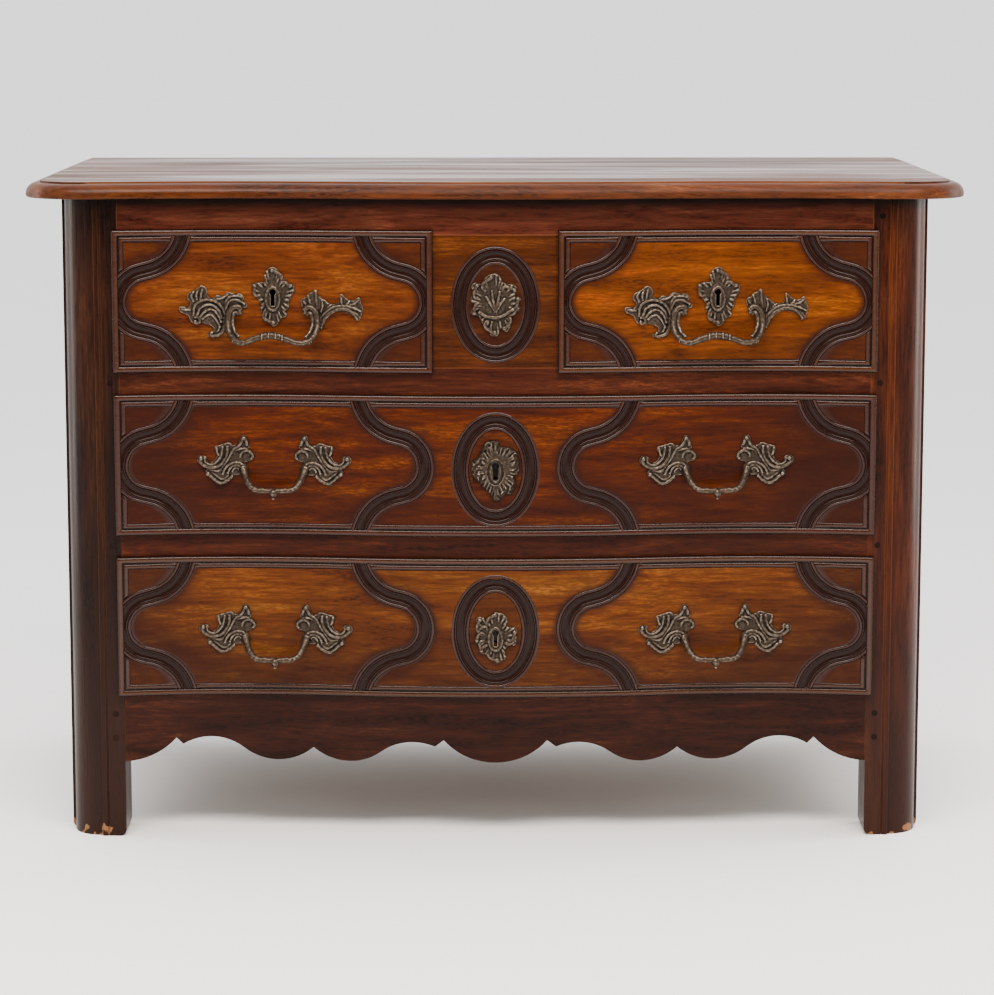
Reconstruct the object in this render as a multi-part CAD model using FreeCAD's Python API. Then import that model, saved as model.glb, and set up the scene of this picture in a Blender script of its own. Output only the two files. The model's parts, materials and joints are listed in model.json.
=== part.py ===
import FreeCAD, Part
import math
import os

# A four-drawer chest with a serpentine front: frame-and-panel carcass on four stile feet, two
# short drawers beside a fixed panel, two long drawers below. Millimetres, +Z up, front towards
# -Y, origin on the floor under the middle of the whole piece.
# "Depth" means distance behind the plane of the front stiles' faces, so a depth is negative in
# front of them. "Proud" means distance in front of the serpentine face of the rails.

V = FreeCAD.Vector

# Overall sizes
HEIGHT = 890.0
BODY_WIDTH = 1160.0
BODY_DEPTH = 600.0
TOP_WIDTH = 1250.0
TOP_THICKNESS = 22.0
TOP_OVERHANG_FRONT = 34.0
TOP_OVERHANG_BACK = 6.0

# Top: two boards with a stepped thumb moulding along the front and the ends
TOP_CORNER_RADIUS = 75.0
TOP_ARRIS_INSET = 19.0
TOP_STEP = 2.5
TOP_THUMB_RADIUS = 15.0
TOP_UNDER_RADIUS = 3.0
TOP_BACK_BOARD = 250.0

# Serpentine of the front in plan: the middle bows forward, a hollow lies on each side of it,
# deepest at a distance from the stile
CENTRE_BOW = 12.0
HOLLOW_DEPTH = 12.0
HOLLOW_INSET = 152.0

# Stiles
STILE_WIDTH = 78.0
STILE_DEPTH = 70.0
COLUMN_RADIUS = 42.0
COLUMN_QUIRK = 4.0
BEAD_WIDTH = 7.0
BEAD_GROOVE = 2.0
REAR_STILE_WIDTH = 60.0
REAR_STILE_DEPTH = 45.0
FOOT_EASE = 9.0

# Heights of the front, from the floor up; the rows of drawers share what is left
FOOT_HEIGHT = 104.0
APRON_HEIGHT = 98.0
RAIL_HEIGHT = 43.0
TOP_RAIL_HEIGHT = 49.0
DRAWER_ROWS = 3

# Apron: lobes, arches and cusps of the scalloped lower edge, as heights above the lobes and
# distances from the middle or, for the insets, from the stile
APRON_BACK = 44.0
CUSP_RISE = 31.0
NOTCH_RISE = 22.0
ARCH_RISE = 28.0
OUTER_ARCH_RISE = 32.0
OUTER_CUSP_RISE = 18.0
MIDDLE_CUSP_X = 70.0
MIDDLE_NOTCH_X = 82.0
INNER_ARCH_X = 112.0
INNER_LOBE_X = 198.0
LOBE_CUSP_X = 247.0
OUTER_LOBE_X = 295.0
OUTER_ARCH_INSET = 115.0
OUTER_NOTCH_INSET = 78.0
OUTER_CUSP_INSET = 69.0

# Frame joints
TENON_LENGTH = 45.0
TENON_THICKNESS = 16.0
TENON_SETBACK = 24.0
TENON_SHOULDER = 5.0
SIDE_TENON_LENGTH = 22.0
BACK_TENON_LENGTH = 30.0
PEG_RADIUS = 4.0
PEG_CLEARANCE = 0.1
PEG_INSET = 12.0
PEG_DEPTH = 56.0
SIDE_PEG_DEPTH = 24.0
TOP_PEG_DEPTH = 46.0
TOP_PEG_X = 270.0

# Sides and back
SIDE_RAIL_THICKNESS = 26.0
SIDE_SETBACK = 2.0
SIDE_UPPER_RAIL = 90.0
SIDE_LOWER_RAIL = 86.0
TONGUE = 10.0
PANEL_GROOVE = 10.0
PANEL_RAISE = 4.0
PANEL_BEVEL = 30.0
BACK_RAIL_THICKNESS = 22.0
BACK_SETBACK = 4.0
BACK_RAIL_HEIGHT = 80.0

# Fixed panel between the short drawers
PANEL_WIDTH = 180.0
PANEL_BACK = 30.0
PANEL_TENON_THICKNESS = 12.0
PANEL_TENON_LENGTH = 16.0
PANEL_TENON_SETBACK = 8.0

# Runners
RUNNER_THICKNESS = 20.0
RUNNER_LEDGE = 32.0
GUIDE_HEIGHT = 25.0

# Drawers
LIP_OVERLAP = 7.0
LIP_PROUD = 9.0
LIP_GAP = 0.4
LIP_ROUND = 4.0
FRONT_BACK = 32.0
DRAWER_SIDE_GAP = 2.0
DRAWER_TOP_GAP = 4.0
FRONT_FOOT_GAP = 1.0
SIDE_THICKNESS = 13.0
BOX_LENGTH = 515.0
DRAWER_BACK_THICKNESS = 12.0
DRAWER_BACK_DROP = 12.0
BOTTOM_THICKNESS = 8.0
BOTTOM_RISE = 10.0
BOTTOM_GROOVE = 6.0

# Dovetails: tails on the drawer sides
TAIL_COUNT = 3
TAIL_DEPTH = 14.0
TAIL_ROOT = 24.0
TAIL_FLARE = 4.0
TAIL_LOWER_MARGIN = 42.0
TAIL_UPPER_MARGIN = 39.0

# Carving of the drawer fronts
BORDER_WIDTH = 8.0
BORDER_QUIRK = 3.0
BORDER_QUIRK_DEPTH = 2.5
BAND_WIDTH = 20.0
BAND_DEPTH = 4.0
ACCOLADE_TIP_RADIUS = 40.0
ACCOLADE_RUN = 12.0
ACCOLADE_RUN_LEAN = math.radians(76.0)
ACCOLADE_ROOT_LEAN = math.radians(16.0)
ACCOLADE_END_INSET = 12.0
ACCOLADE_MIDDLE_X = 94.0
OVAL_HALF_WIDTH = 59.0
OVAL_MARGIN = 7.5
OVAL_DROP = 4.0

# Locks: the case reaches from the drawer's upper edge to a foot below the keyhole
LOCK_WIDTH = 84.0
LOCK_FOOT = 20.0
LOCK_THICKNESS = 12.0
BOLT_WIDTH = 26.0
BOLT_THICKNESS = 6.0
BOLT_HEIGHT = 46.0
BOLT_WALL = 3.0
BOLT_CLEARANCE = 0.4
BOLT_TRAVEL = 10.0
KEYHOLE_RADIUS = 2.6
KEYHOLE_SLOT = 3.4
KEYHOLE_LENGTH = 12.0

# Bronze mounts. A leaf is a spray of lobes; each lobe's tip is given as a distance outwards
# from the bail's root and a height above it
HARDWARE_GAP = 0.1
LEAF_THICKNESS = 6.0
LEAF_HUB = (9.0, 14.0)
LEAF_HUB_RADIUS = 16.0
LOBE_ROOT = 20.0
LOBE_TIP = 14.0
LOBE_BULGE = 5.0
LONG_LEAF = {
    "outer scroll": (56.0, 19.0),
    "upper frill": (34.0, 33.0),
    "bud": (-3.0, 41.0),
    "inner curl": (-9.0, 20.0),
    "lower lobe": (38.0, -6.0),
}
SHORT_LEAF = {
    "outer scroll": (58.0, 21.0),
    "upper frill": (35.0, 40.0),
    "bud": (-4.0, 41.0),
    "inner curl": (-17.0, 30.0),
    "lower lobe": (21.0, -9.0),
}
LONG_HANDLE_ROOT = 37.0
SHORT_HANDLE_ROOT = 58.0
LONG_CREST = 0.0
SHORT_CREST = 9.0
BAIL_RADIUS = 4.5
BAIL_TILT = math.radians(30.0)
BAIL_REACH = 36.0
BAIL_PAD_RADIUS = 8.5
BAIL_BEND = 20.0
BAIL_KNOB_RADIUS = 6.5
STUD_RADIUS = 3.5
STUD_CLEARANCE = 0.3
STUD_END = 9.0
ESCUTCHEON_THICKNESS = 3.0
ESCUTCHEON_LOBES = 10
ESCUTCHEON_NOTCH = 0.86
SHIELD_TAPER = 0.3
EYE_RISE = 8.0
UPPER_HANDLE_RISE = -35.0
MIDDLE_HANDLE_RISE = -13.0
LOWER_HANDLE_RISE = -23.0
UPPER_PLATE_RISE = 6.0
MIDDLE_PLATE_RISE = -4.0
LOWER_PLATE_RISE = -11.0
SHORT_ESCUTCHEON = (26.0, 40.0)
MIDDLE_ESCUTCHEON = (33.0, 41.0)
LOWER_ESCUTCHEON = (29.0, 36.0)
CENTRE_MOUNT = (33.0, 42.0)

# Places worked out from the sizes above
FRONT_Y = (TOP_OVERHANG_FRONT + CENTRE_BOW - BODY_DEPTH - TOP_OVERHANG_BACK) / 2
OUTER_X = BODY_WIDTH / 2
OPENING_X = OUTER_X - STILE_WIDTH
HOLLOW_X = OPENING_X - HOLLOW_INSET
STILE_TOP = HEIGHT - TOP_THICKNESS
APRON_TOP = FOOT_HEIGHT + APRON_HEIGHT
TOP_RAIL_Z = STILE_TOP - TOP_RAIL_HEIGHT
ROW_PITCH = (TOP_RAIL_Z + RAIL_HEIGHT - APRON_TOP) / DRAWER_ROWS
OPENING_HEIGHT = ROW_PITCH - RAIL_HEIGHT
ROW_Z = [APRON_TOP + row * ROW_PITCH for row in range(DRAWER_ROWS)]
REAR_STILE_FRONT = BODY_DEPTH - REAR_STILE_DEPTH
REAR_STILE_X = OUTER_X - REAR_STILE_WIDTH
SIDE_OUTER_X = OUTER_X - SIDE_SETBACK
SIDE_INNER_X = SIDE_OUTER_X - SIDE_RAIL_THICKNESS
SIDE_TONGUE_X = (SIDE_OUTER_X + SIDE_INNER_X - TONGUE) / 2
BACK_OUTER = BODY_DEPTH - BACK_SETBACK
BACK_INNER = BACK_OUTER - BACK_RAIL_THICKNESS
BACK_TONGUE = (BACK_OUTER + BACK_INNER - TONGUE) / 2
TAIL_TIP = FRONT_BACK - TAIL_DEPTH
TAIL_SPAN = OPENING_HEIGHT - DRAWER_TOP_GAP - TAIL_LOWER_MARGIN - TAIL_UPPER_MARGIN
TAIL_PITCH = TAIL_SPAN / (TAIL_COUNT - 1)
BOX_END = FRONT_BACK + BOX_LENGTH
BOLT_FRONT = FRONT_BACK - BOLT_WALL - BOLT_THICKNESS
FIELD_INSET = BORDER_WIDTH + BORDER_QUIRK

# Carving fills the field's height: the oval keeps a margin, and the accolade's root bend takes up
# what its tip bend and run leave
ACCOLADE_HALF_HEIGHT = OPENING_HEIGHT / 2 + LIP_OVERLAP - FIELD_INSET
OVAL_HALF_HEIGHT = ACCOLADE_HALF_HEIGHT - OVAL_MARGIN
ACCOLADE_TIP_RISE = ACCOLADE_TIP_RADIUS * math.sin(ACCOLADE_RUN_LEAN)
ACCOLADE_TIP_RISE += ACCOLADE_RUN * math.cos(ACCOLADE_RUN_LEAN)
ACCOLADE_BEND_SHARE = math.sin(ACCOLADE_RUN_LEAN) - math.sin(ACCOLADE_ROOT_LEAN)
ACCOLADE_ROOT_RADIUS = (ACCOLADE_HALF_HEIGHT - ACCOLADE_TIP_RISE) / ACCOLADE_BEND_SHARE

# Radii of the two tangent arcs of the serpentine
SWING = CENTRE_BOW + HOLLOW_DEPTH
R_HOLLOW = ((OPENING_X - HOLLOW_X) ** 2 + HOLLOW_DEPTH ** 2) / (2 * HOLLOW_DEPTH)
R_SUM = (HOLLOW_X ** 2 + SWING ** 2) / (2 * SWING)
R_CENTRE = R_SUM - R_HOLLOW


def save(name, *solids):
    shape = solids[0] if len(solids) == 1 else Part.makeCompound(list(solids))
    shape.exportStep("parts/" + name + ".step")


def mirrored(shape):
    return shape.mirror(V(0, 0, 0), V(1, 0, 0))


def box(x0, x1, depth0, depth1, z0, z1):
    return Part.makeBox(x1 - x0, depth1 - depth0, z1 - z0, V(x0, FRONT_Y + depth0, z0))


def arc(a, middle, b):
    return Part.Arc(a, middle, b).toShape()


def line(a, b):
    return Part.makeLine(a, b)


def cylinder_y(x, z, radius, depth0, depth1):
    return Part.makeCylinder(radius, depth1 - depth0, V(x, FRONT_Y + depth0, z), V(0, 1, 0))


def cylinder_x(x0, x1, depth, z, radius):
    return Part.makeCylinder(radius, x1 - x0, V(x0, FRONT_Y + depth, z), V(1, 0, 0))


def prism_y(edges, depth0, depth1):
    """Edges drawn at y = 0 in front view, run through from one depth to another."""
    face = Part.Face(Part.Wire(edges))
    face.translate(V(0, FRONT_Y + depth0, 0))
    return face.extrude(V(0, depth1 - depth0, 0))


# Serpentine front

def front_depth(x, proud):
    """Depth of the serpentine face at x, moved forward by proud along its normals."""
    join = HOLLOW_X * (R_CENTRE + proud) / R_SUM
    if abs(x) <= join:
        return R_CENTRE - CENTRE_BOW - math.sqrt((R_CENTRE + proud) ** 2 - x ** 2)
    across = abs(x) - HOLLOW_X
    return HOLLOW_DEPTH - R_HOLLOW + math.sqrt((R_HOLLOW - proud) ** 2 - across ** 2)


def front_point(x, proud, z=0.0):
    return V(x, FRONT_Y + front_depth(x, proud), z)


def front_edges(x0, x1, proud):
    join = HOLLOW_X * (R_CENTRE + proud) / R_SUM
    stops = [x0] + [x for x in (-join, join) if x0 < x < x1] + [x1]
    edges = []
    for a, b in zip(stops, stops[1:]):
        middle = front_point((a + b) / 2, proud)
        edges.append(arc(front_point(a, proud), middle, front_point(b, proud)))
    return edges


def front_board(x0, x1, z0, z1, proud, back):
    """Board with a serpentine face in front and a flat back at one depth."""
    left = V(x0, FRONT_Y + back, 0)
    right = V(x1, FRONT_Y + back, 0)
    edges = front_edges(x0, x1, proud)
    edges += [line(front_point(x1, proud), right), line(right, left), line(left, front_point(x0, proud))]
    board = Part.Face(Part.Wire(edges)).extrude(V(0, 0, z1 - z0))
    board.translate(V(0, 0, z0))
    return board


def front_skin(x0, x1, z0, z1, proud_back, proud_front):
    """Layer between two offsets of the serpentine face."""
    edges = front_edges(x0, x1, proud_front)
    edges.append(line(front_point(x1, proud_front), front_point(x1, proud_back)))
    edges += front_edges(x0, x1, proud_back)
    edges.append(line(front_point(x0, proud_back), front_point(x0, proud_front)))
    layer = Part.Face(Part.Wire(Part.sortEdges(edges)[0])).extrude(V(0, 0, z1 - z0))
    layer.translate(V(0, 0, z0))
    return layer


# Top

def top_outline(inset, z):
    """Front and ends of the top as tangent arcs and lines, moved inwards by inset."""
    proud = TOP_OVERHANG_FRONT - inset
    radius = TOP_CORNER_RADIUS - inset
    side = TOP_WIDTH / 2 - inset
    back = FRONT_Y + BODY_DEPTH + TOP_OVERHANG_BACK
    hollow_radius = R_HOLLOW - proud
    hollow_y = FRONT_Y + HOLLOW_DEPTH - R_HOLLOW
    corner_x = side - radius
    across = corner_x - HOLLOW_X
    corner_y = hollow_y + math.sqrt((hollow_radius + radius) ** 2 - across ** 2)
    share = hollow_radius / (hollow_radius + radius)
    meet_x = HOLLOW_X + across * share
    meet_y = hollow_y + (corner_y - hollow_y) * share
    turn = (math.pi / 2 - math.atan2(across, corner_y - hollow_y)) / 2
    middle_x = corner_x + radius * math.cos(turn)
    middle_y = corner_y - radius * math.sin(turn)
    edges = [
        line(V(-side, back, 0), V(-side, corner_y, 0)),
        arc(V(-side, corner_y, 0), V(-middle_x, middle_y, 0), V(-meet_x, meet_y, 0)),
    ]
    edges += front_edges(-meet_x, meet_x, proud)
    edges += [
        arc(V(meet_x, meet_y, 0), V(middle_x, middle_y, 0), V(side, corner_y, 0)),
        line(V(side, corner_y, 0), V(side, back, 0)),
        line(V(side, back, 0), V(-side, back, 0)),
    ]
    wire = Part.Wire(edges)
    wire.translate(V(0, 0, z))
    return Part.Face(wire)


def moulded_edges(slab, z):
    """Edges of a slab at height z, apart from the straight back edge."""
    back = FRONT_Y + BODY_DEPTH + TOP_OVERHANG_BACK
    level = []
    for edge in slab.Edges:
        low = edge.BoundBox
        at_height = abs(low.ZMin - z) < TOP_STEP / 2 and abs(low.ZMax - z) < TOP_STEP / 2
        if at_height and low.YMin < back - TOP_STEP:
            level.append(edge)
    return level


def top_boards(pegs):
    under = HEIGHT - TOP_THICKNESS
    step = HEIGHT - TOP_STEP
    slab = top_outline(0, under).extrude(V(0, 0, step - under))
    slab = slab.makeFillet(TOP_THUMB_RADIUS, moulded_edges(slab, step))
    slab = slab.makeFillet(TOP_UNDER_RADIUS, moulded_edges(slab, under))
    slab = slab.fuse(top_outline(TOP_ARRIS_INSET, step).extrude(V(0, 0, TOP_STEP))).removeSplitter()
    slab = slab.cut(pegs)
    back = BODY_DEPTH + TOP_OVERHANG_BACK
    seam = back - TOP_BACK_BOARD
    rear = box(-TOP_WIDTH, TOP_WIDTH, seam, back, under, HEIGHT)
    return slab.cut(rear), slab.common(rear)


# Carcass

def eased_corner(x, inwards):
    """Piece of wood that a rounded bottom corner of a foot loses, as a run from front to back."""
    middle = FOOT_EASE * (1 - math.sqrt(0.5))
    edges = [
        line(V(x, 0, 0), V(x + inwards * FOOT_EASE, 0, 0)),
        arc(V(x + inwards * FOOT_EASE, 0, 0), V(x + inwards * middle, 0, middle), V(x, 0, FOOT_EASE)),
        line(V(x, 0, FOOT_EASE), V(x, 0, 0)),
    ]
    return prism_y(edges, 0, BODY_DEPTH)


def front_stile():
    """Left front stile: a quarter column let in between two fillets, and a bead beside it."""
    column_x = -OUTER_X + COLUMN_QUIRK + COLUMN_RADIUS
    column_depth = COLUMN_QUIRK + COLUMN_RADIUS
    bead_x = column_x + BEAD_WIDTH
    groove_x = bead_x + BEAD_GROOVE
    diagonal = COLUMN_RADIUS * math.sqrt(0.5)
    face = [
        (-OUTER_X, column_depth), (-OUTER_X, STILE_DEPTH), (-OPENING_X, STILE_DEPTH), (-OPENING_X, 0),
        (groove_x, 0), (groove_x, BEAD_GROOVE), (bead_x, BEAD_GROOVE), (bead_x, 0),
        (column_x, 0), (column_x, COLUMN_QUIRK),
    ]
    points = [V(x, FRONT_Y + depth, 0) for x, depth in face]
    edges = [line(a, b) for a, b in zip(points, points[1:])]
    turned = V(-OUTER_X + COLUMN_QUIRK, FRONT_Y + column_depth, 0)
    middle = V(column_x - diagonal, FRONT_Y + column_depth - diagonal, 0)
    edges += [arc(points[-1], middle, turned), line(turned, points[0])]
    stile = Part.Face(Part.Wire(edges)).extrude(V(0, 0, STILE_TOP))
    return stile.cut([eased_corner(-OUTER_X, 1), eased_corner(-OPENING_X, -1)])


def rear_stile():
    stile = box(-OUTER_X, -REAR_STILE_X, REAR_STILE_FRONT, BODY_DEPTH, 0, STILE_TOP)
    return stile.cut([eased_corner(-OUTER_X, 1), eased_corner(-REAR_STILE_X, -1)])


def front_tenon(z0, z1):
    """Tenon at the left end of a front rail."""
    low, high = z0 + TENON_SHOULDER, z1 - TENON_SHOULDER
    near, far = TENON_SETBACK, TENON_SETBACK + TENON_THICKNESS
    return box(-OPENING_X - TENON_LENGTH, -OPENING_X, near, far, low, high)


def front_rail(z0, z1, back):
    rail = front_board(-OPENING_X, OPENING_X, z0, z1, 0, back)
    tenon = front_tenon(z0, z1)
    return rail.fuse([tenon, mirrored(tenon)])


def level_arc(level, end):
    """Arc that leaves the point level flat and ends at the point end, both (x, z)."""
    run, rise = end[0] - level[0], end[1] - level[1]
    radius = (run ** 2 + rise ** 2) / (2 * rise)
    half = math.atan(rise / run)
    middle = V(level[0] + radius * math.sin(half), 0, level[1] + radius * (1 - math.cos(half)))
    return arc(V(level[0], 0, level[1]), middle, V(end[0], 0, end[1]))


def s_curve(a, b):
    """Two tangent arcs, flat at both ends, that meet halfway."""
    half = ((a[0] + b[0]) / 2, (a[1] + b[1]) / 2)
    return [level_arc(a, half), level_arc(b, half)]


def scalloped_edge():
    """Right half of the apron's lower edge, from the middle lobe to the foot."""
    base = FOOT_HEIGHT
    middle_lobe = (0.0, base)
    cusp = (MIDDLE_CUSP_X, base + CUSP_RISE)
    notch = (MIDDLE_NOTCH_X, base + NOTCH_RISE)
    arch = (INNER_ARCH_X, base + ARCH_RISE)
    lobe = (INNER_LOBE_X, base)
    lobe_cusp = (LOBE_CUSP_X, base + OUTER_CUSP_RISE)
    outer_lobe = (OUTER_LOBE_X, base)
    outer_arch = (OPENING_X - OUTER_ARCH_INSET, base + OUTER_ARCH_RISE)
    outer_notch = (OPENING_X - OUTER_NOTCH_INSET, base + NOTCH_RISE)
    outer_cusp = (OPENING_X - OUTER_CUSP_INSET, base + CUSP_RISE)
    foot = (OPENING_X, base)
    edges = [level_arc(middle_lobe, cusp)]
    edges.append(line(V(cusp[0], 0, cusp[1]), V(notch[0], 0, notch[1])))
    edges.append(level_arc(arch, notch))
    edges += s_curve(arch, lobe)
    edges += [level_arc(lobe, lobe_cusp), level_arc(outer_lobe, lobe_cusp)]
    edges += s_curve(outer_lobe, outer_arch)
    edges.append(level_arc(outer_arch, outer_notch))
    edges.append(line(V(outer_notch[0], 0, outer_notch[1]), V(outer_cusp[0], 0, outer_cusp[1])))
    edges.append(level_arc(foot, outer_cusp))
    return edges


def front_apron():
    apron = front_rail(FOOT_HEIGHT, APRON_TOP, APRON_BACK)
    below = scalloped_edge()
    foot = V(OPENING_X, 0, FOOT_HEIGHT)
    floor = V(OPENING_X, 0, 0)
    middle = V(0, 0, 0)
    below += [line(foot, floor), line(floor, middle), line(middle, V(0, 0, FOOT_HEIGHT))]
    waste = prism_y(Part.sortEdges(below)[0], -BODY_DEPTH, BODY_DEPTH)
    return apron.cut([waste, mirrored(waste)])


def side_tenons(z0, z1):
    """Tenons at both ends of a left side rail."""
    low, high = z0 + TENON_SHOULDER, z1 - TENON_SHOULDER
    x0, x1 = -SIDE_TONGUE_X - TONGUE, -SIDE_TONGUE_X
    front = box(x0, x1, STILE_DEPTH - SIDE_TENON_LENGTH, STILE_DEPTH, low, high)
    rear = box(x0, x1, REAR_STILE_FRONT, REAR_STILE_FRONT + SIDE_TENON_LENGTH, low, high)
    return [front, rear]


def side_rail(z0, z1):
    rail = box(-SIDE_OUTER_X, -SIDE_INNER_X, STILE_DEPTH, REAR_STILE_FRONT, z0, z1)
    return rail.fuse(side_tenons(z0, z1))


def rectangle_x(x, depth0, depth1, z0, z1):
    corners = [(depth0, z0), (depth1, z0), (depth1, z1), (depth0, z1), (depth0, z0)]
    return Part.makePolygon([V(x, FRONT_Y + depth, z) for depth, z in corners])


def side_panel_tongue():
    low = FOOT_HEIGHT + SIDE_LOWER_RAIL - PANEL_GROOVE
    high = STILE_TOP - SIDE_UPPER_RAIL + PANEL_GROOVE
    near, far = STILE_DEPTH - PANEL_GROOVE, REAR_STILE_FRONT + PANEL_GROOVE
    return box(-SIDE_TONGUE_X - TONGUE, -SIDE_TONGUE_X, near, far, low, high)


def side_panel():
    """Fielded panel: a tongue all round and a bevelled field raised outwards."""
    face_x = -SIDE_TONGUE_X - TONGUE
    low, high = FOOT_HEIGHT + SIDE_LOWER_RAIL, STILE_TOP - SIDE_UPPER_RAIL
    sight = rectangle_x(face_x, STILE_DEPTH, REAR_STILE_FRONT, low, high)
    field = rectangle_x(
        face_x - PANEL_RAISE, STILE_DEPTH + PANEL_BEVEL, REAR_STILE_FRONT - PANEL_BEVEL,
        low + PANEL_BEVEL, high - PANEL_BEVEL,
    )
    return side_panel_tongue().fuse(Part.makeLoft([sight, field], True, True))


def back_tenon(z0, z1):
    low, high = z0 + TENON_SHOULDER, z1 - TENON_SHOULDER
    reach = REAR_STILE_X + BACK_TENON_LENGTH
    return box(-reach, -REAR_STILE_X, BACK_TONGUE, BACK_TONGUE + TONGUE, low, high)


def back_rail(z0, z1):
    rail = box(-REAR_STILE_X, REAR_STILE_X, BACK_INNER, BACK_OUTER, z0, z1)
    tenon = back_tenon(z0, z1)
    return rail.fuse([tenon, mirrored(tenon)])


def back_panel():
    reach = REAR_STILE_X + PANEL_GROOVE
    low = FOOT_HEIGHT + BACK_RAIL_HEIGHT - PANEL_GROOVE
    high = STILE_TOP - BACK_RAIL_HEIGHT + PANEL_GROOVE
    return box(-reach, reach, BACK_TONGUE, BACK_TONGUE + TONGUE, low, high)


def panel_tenons():
    half = PANEL_WIDTH / 2 - TENON_SHOULDER
    near, far = PANEL_TENON_SETBACK, PANEL_TENON_SETBACK + PANEL_TENON_THICKNESS
    low = box(-half, half, near, far, ROW_Z[2] - PANEL_TENON_LENGTH, ROW_Z[2])
    high = box(-half, half, near, far, TOP_RAIL_Z, TOP_RAIL_Z + PANEL_TENON_LENGTH)
    return [low, high]


def centre_panel():
    half = PANEL_WIDTH / 2
    panel = front_board(-half, half, ROW_Z[2], TOP_RAIL_Z, 0, PANEL_BACK).fuse(panel_tenons())
    middle_z = ROW_Z[2] + OPENING_HEIGHT / 2 - OVAL_DROP
    return panel.cut(oval_channel(middle_z, ahead_of(-BAND_DEPTH, -half, half, ROW_Z[2], TOP_RAIL_Z)))


def side_runner(z):
    """Left runner: a ledge under the drawer's side and a guide beside it."""
    near, far = STILE_DEPTH, REAR_STILE_FRONT
    ledge = box(-SIDE_INNER_X, -OPENING_X + RUNNER_LEDGE, near, far, z - RUNNER_THICKNESS, z)
    guide = box(-SIDE_INNER_X, -OPENING_X, near, far, z, z + GUIDE_HEIGHT)
    return ledge.fuse(guide).removeSplitter()


def centre_runner(z):
    half = PANEL_WIDTH / 2
    wide = half + RUNNER_LEDGE
    near, far = STILE_DEPTH, BACK_TONGUE
    ledge = box(-wide, wide, near, far, z - RUNNER_THICKNESS, z)
    guide = box(-half, half, near, far, z, z + GUIDE_HEIGHT)
    return ledge.fuse(guide).removeSplitter()


def peg_set(radius):
    """Pegs of the left half: rail tenons from the front, side tenons from the side, and the top."""
    x = -OPENING_X - PEG_INSET
    heights = [(TOP_RAIL_Z + STILE_TOP) / 2, ROW_Z[2] - RAIL_HEIGHT / 2, ROW_Z[1] - RAIL_HEIGHT / 2]
    heights += [APRON_TOP - APRON_HEIGHT / 3, FOOT_HEIGHT + APRON_HEIGHT / 3]
    rail_pegs = [cylinder_y(x, z, radius, 0, PEG_DEPTH) for z in heights]
    side_pegs = []
    for z in (STILE_TOP - SIDE_UPPER_RAIL / 2, FOOT_HEIGHT + SIDE_LOWER_RAIL / 2):
        for depth in (STILE_DEPTH - PEG_INSET, REAR_STILE_FRONT + PEG_INSET):
            side_pegs.append(cylinder_x(-OUTER_X, -OUTER_X + SIDE_PEG_DEPTH, depth, z, radius))
    top_pegs = []
    side_x = -(SIDE_OUTER_X + SIDE_INNER_X) / 2
    side_middle = (STILE_DEPTH + REAR_STILE_FRONT) / 2
    for x, depth in ((side_x, side_middle), (-TOP_PEG_X, STILE_DEPTH / 2)):
        base = V(x, FRONT_Y + depth, HEIGHT - TOP_PEG_DEPTH)
        top_pegs.append(Part.makeCylinder(radius, TOP_PEG_DEPTH, base))
    return rail_pegs, side_pegs, top_pegs


# Carving

def ahead_of(proud, x0, x1, z0, z1):
    """Everything in front of an offset of the serpentine face, within a rectangle in front view."""
    far = FRONT_Y - BODY_DEPTH / 4
    left, right = V(x0, far, 0), V(x1, far, 0)
    edges = front_edges(x0, x1, proud)
    edges += [line(front_point(x1, proud), right), line(right, left), line(left, front_point(x0, proud))]
    region = Part.Face(Part.Wire(edges)).extrude(V(0, 0, z1 - z0))
    region.translate(V(0, 0, z0))
    return region


def accolade_side(offset):
    """Upper half of one edge of an accolade band, from its tip at (0, 0), roots towards +X."""
    tip, root = ACCOLADE_TIP_RADIUS, ACCOLADE_ROOT_RADIUS
    lean, end = ACCOLADE_RUN_LEAN, ACCOLADE_ROOT_LEAN
    centre_x = tip * (1 - math.cos(lean)) + ACCOLADE_RUN * math.sin(lean) - root * math.cos(lean)
    centre_z = ACCOLADE_TIP_RISE + root * math.sin(lean)

    def on_tip(angle):
        return (tip - (tip - offset) * math.cos(angle), (tip - offset) * math.sin(angle))

    def on_root(angle):
        return (centre_x + (root + offset) * math.cos(angle), centre_z - (root + offset) * math.sin(angle))

    return on_tip(0), on_tip(lean), on_root(lean), on_root((lean + end) / 2), on_root(end)


def accolade_outline(tip_x, middle_z, way):
    """Closed outline of a brace-shaped band whose tip lies at tip_x and whose roots point way."""
    def place(point, up):
        return V(tip_x + way * point[0], 0, middle_z + up * point[1])

    edges = []
    ends = []
    for offset in (-BAND_WIDTH / 2, BAND_WIDTH / 2):
        tip, bend, run_end, root, last = accolade_side(offset)
        edges.append(arc(place(bend, -1), place(tip, 1), place(bend, 1)))
        for up in (-1, 1):
            edges.append(line(place(bend, up), place(run_end, up)))
            edges.append(arc(place(run_end, up), place(root, up), place(last, up)))
        ends.append(last)
    for up in (-1, 1):
        edges.append(line(place(ends[0], up), place(ends[1], up)))
    return Part.sortEdges(edges)[0]


def accolade_channel(tip_x, middle_z, way, region):
    return prism_y(accolade_outline(tip_x, middle_z, way), -BODY_DEPTH / 4, FRONT_BACK).common(region)


def ellipse_prism(half_width, half_height, z):
    oval = Part.Ellipse(V(0, 0, z + half_height), V(half_width, 0, z), V(0, 0, z)).toShape()
    return prism_y([oval], -BODY_DEPTH / 4, FRONT_BACK)


def oval_channel(z, region):
    ring = ellipse_prism(OVAL_HALF_WIDTH, OVAL_HALF_HEIGHT, z)
    ring = ring.cut(ellipse_prism(OVAL_HALF_WIDTH - BAND_WIDTH, OVAL_HALF_HEIGHT - BAND_WIDTH, z))
    return ring.common(region)


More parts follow.
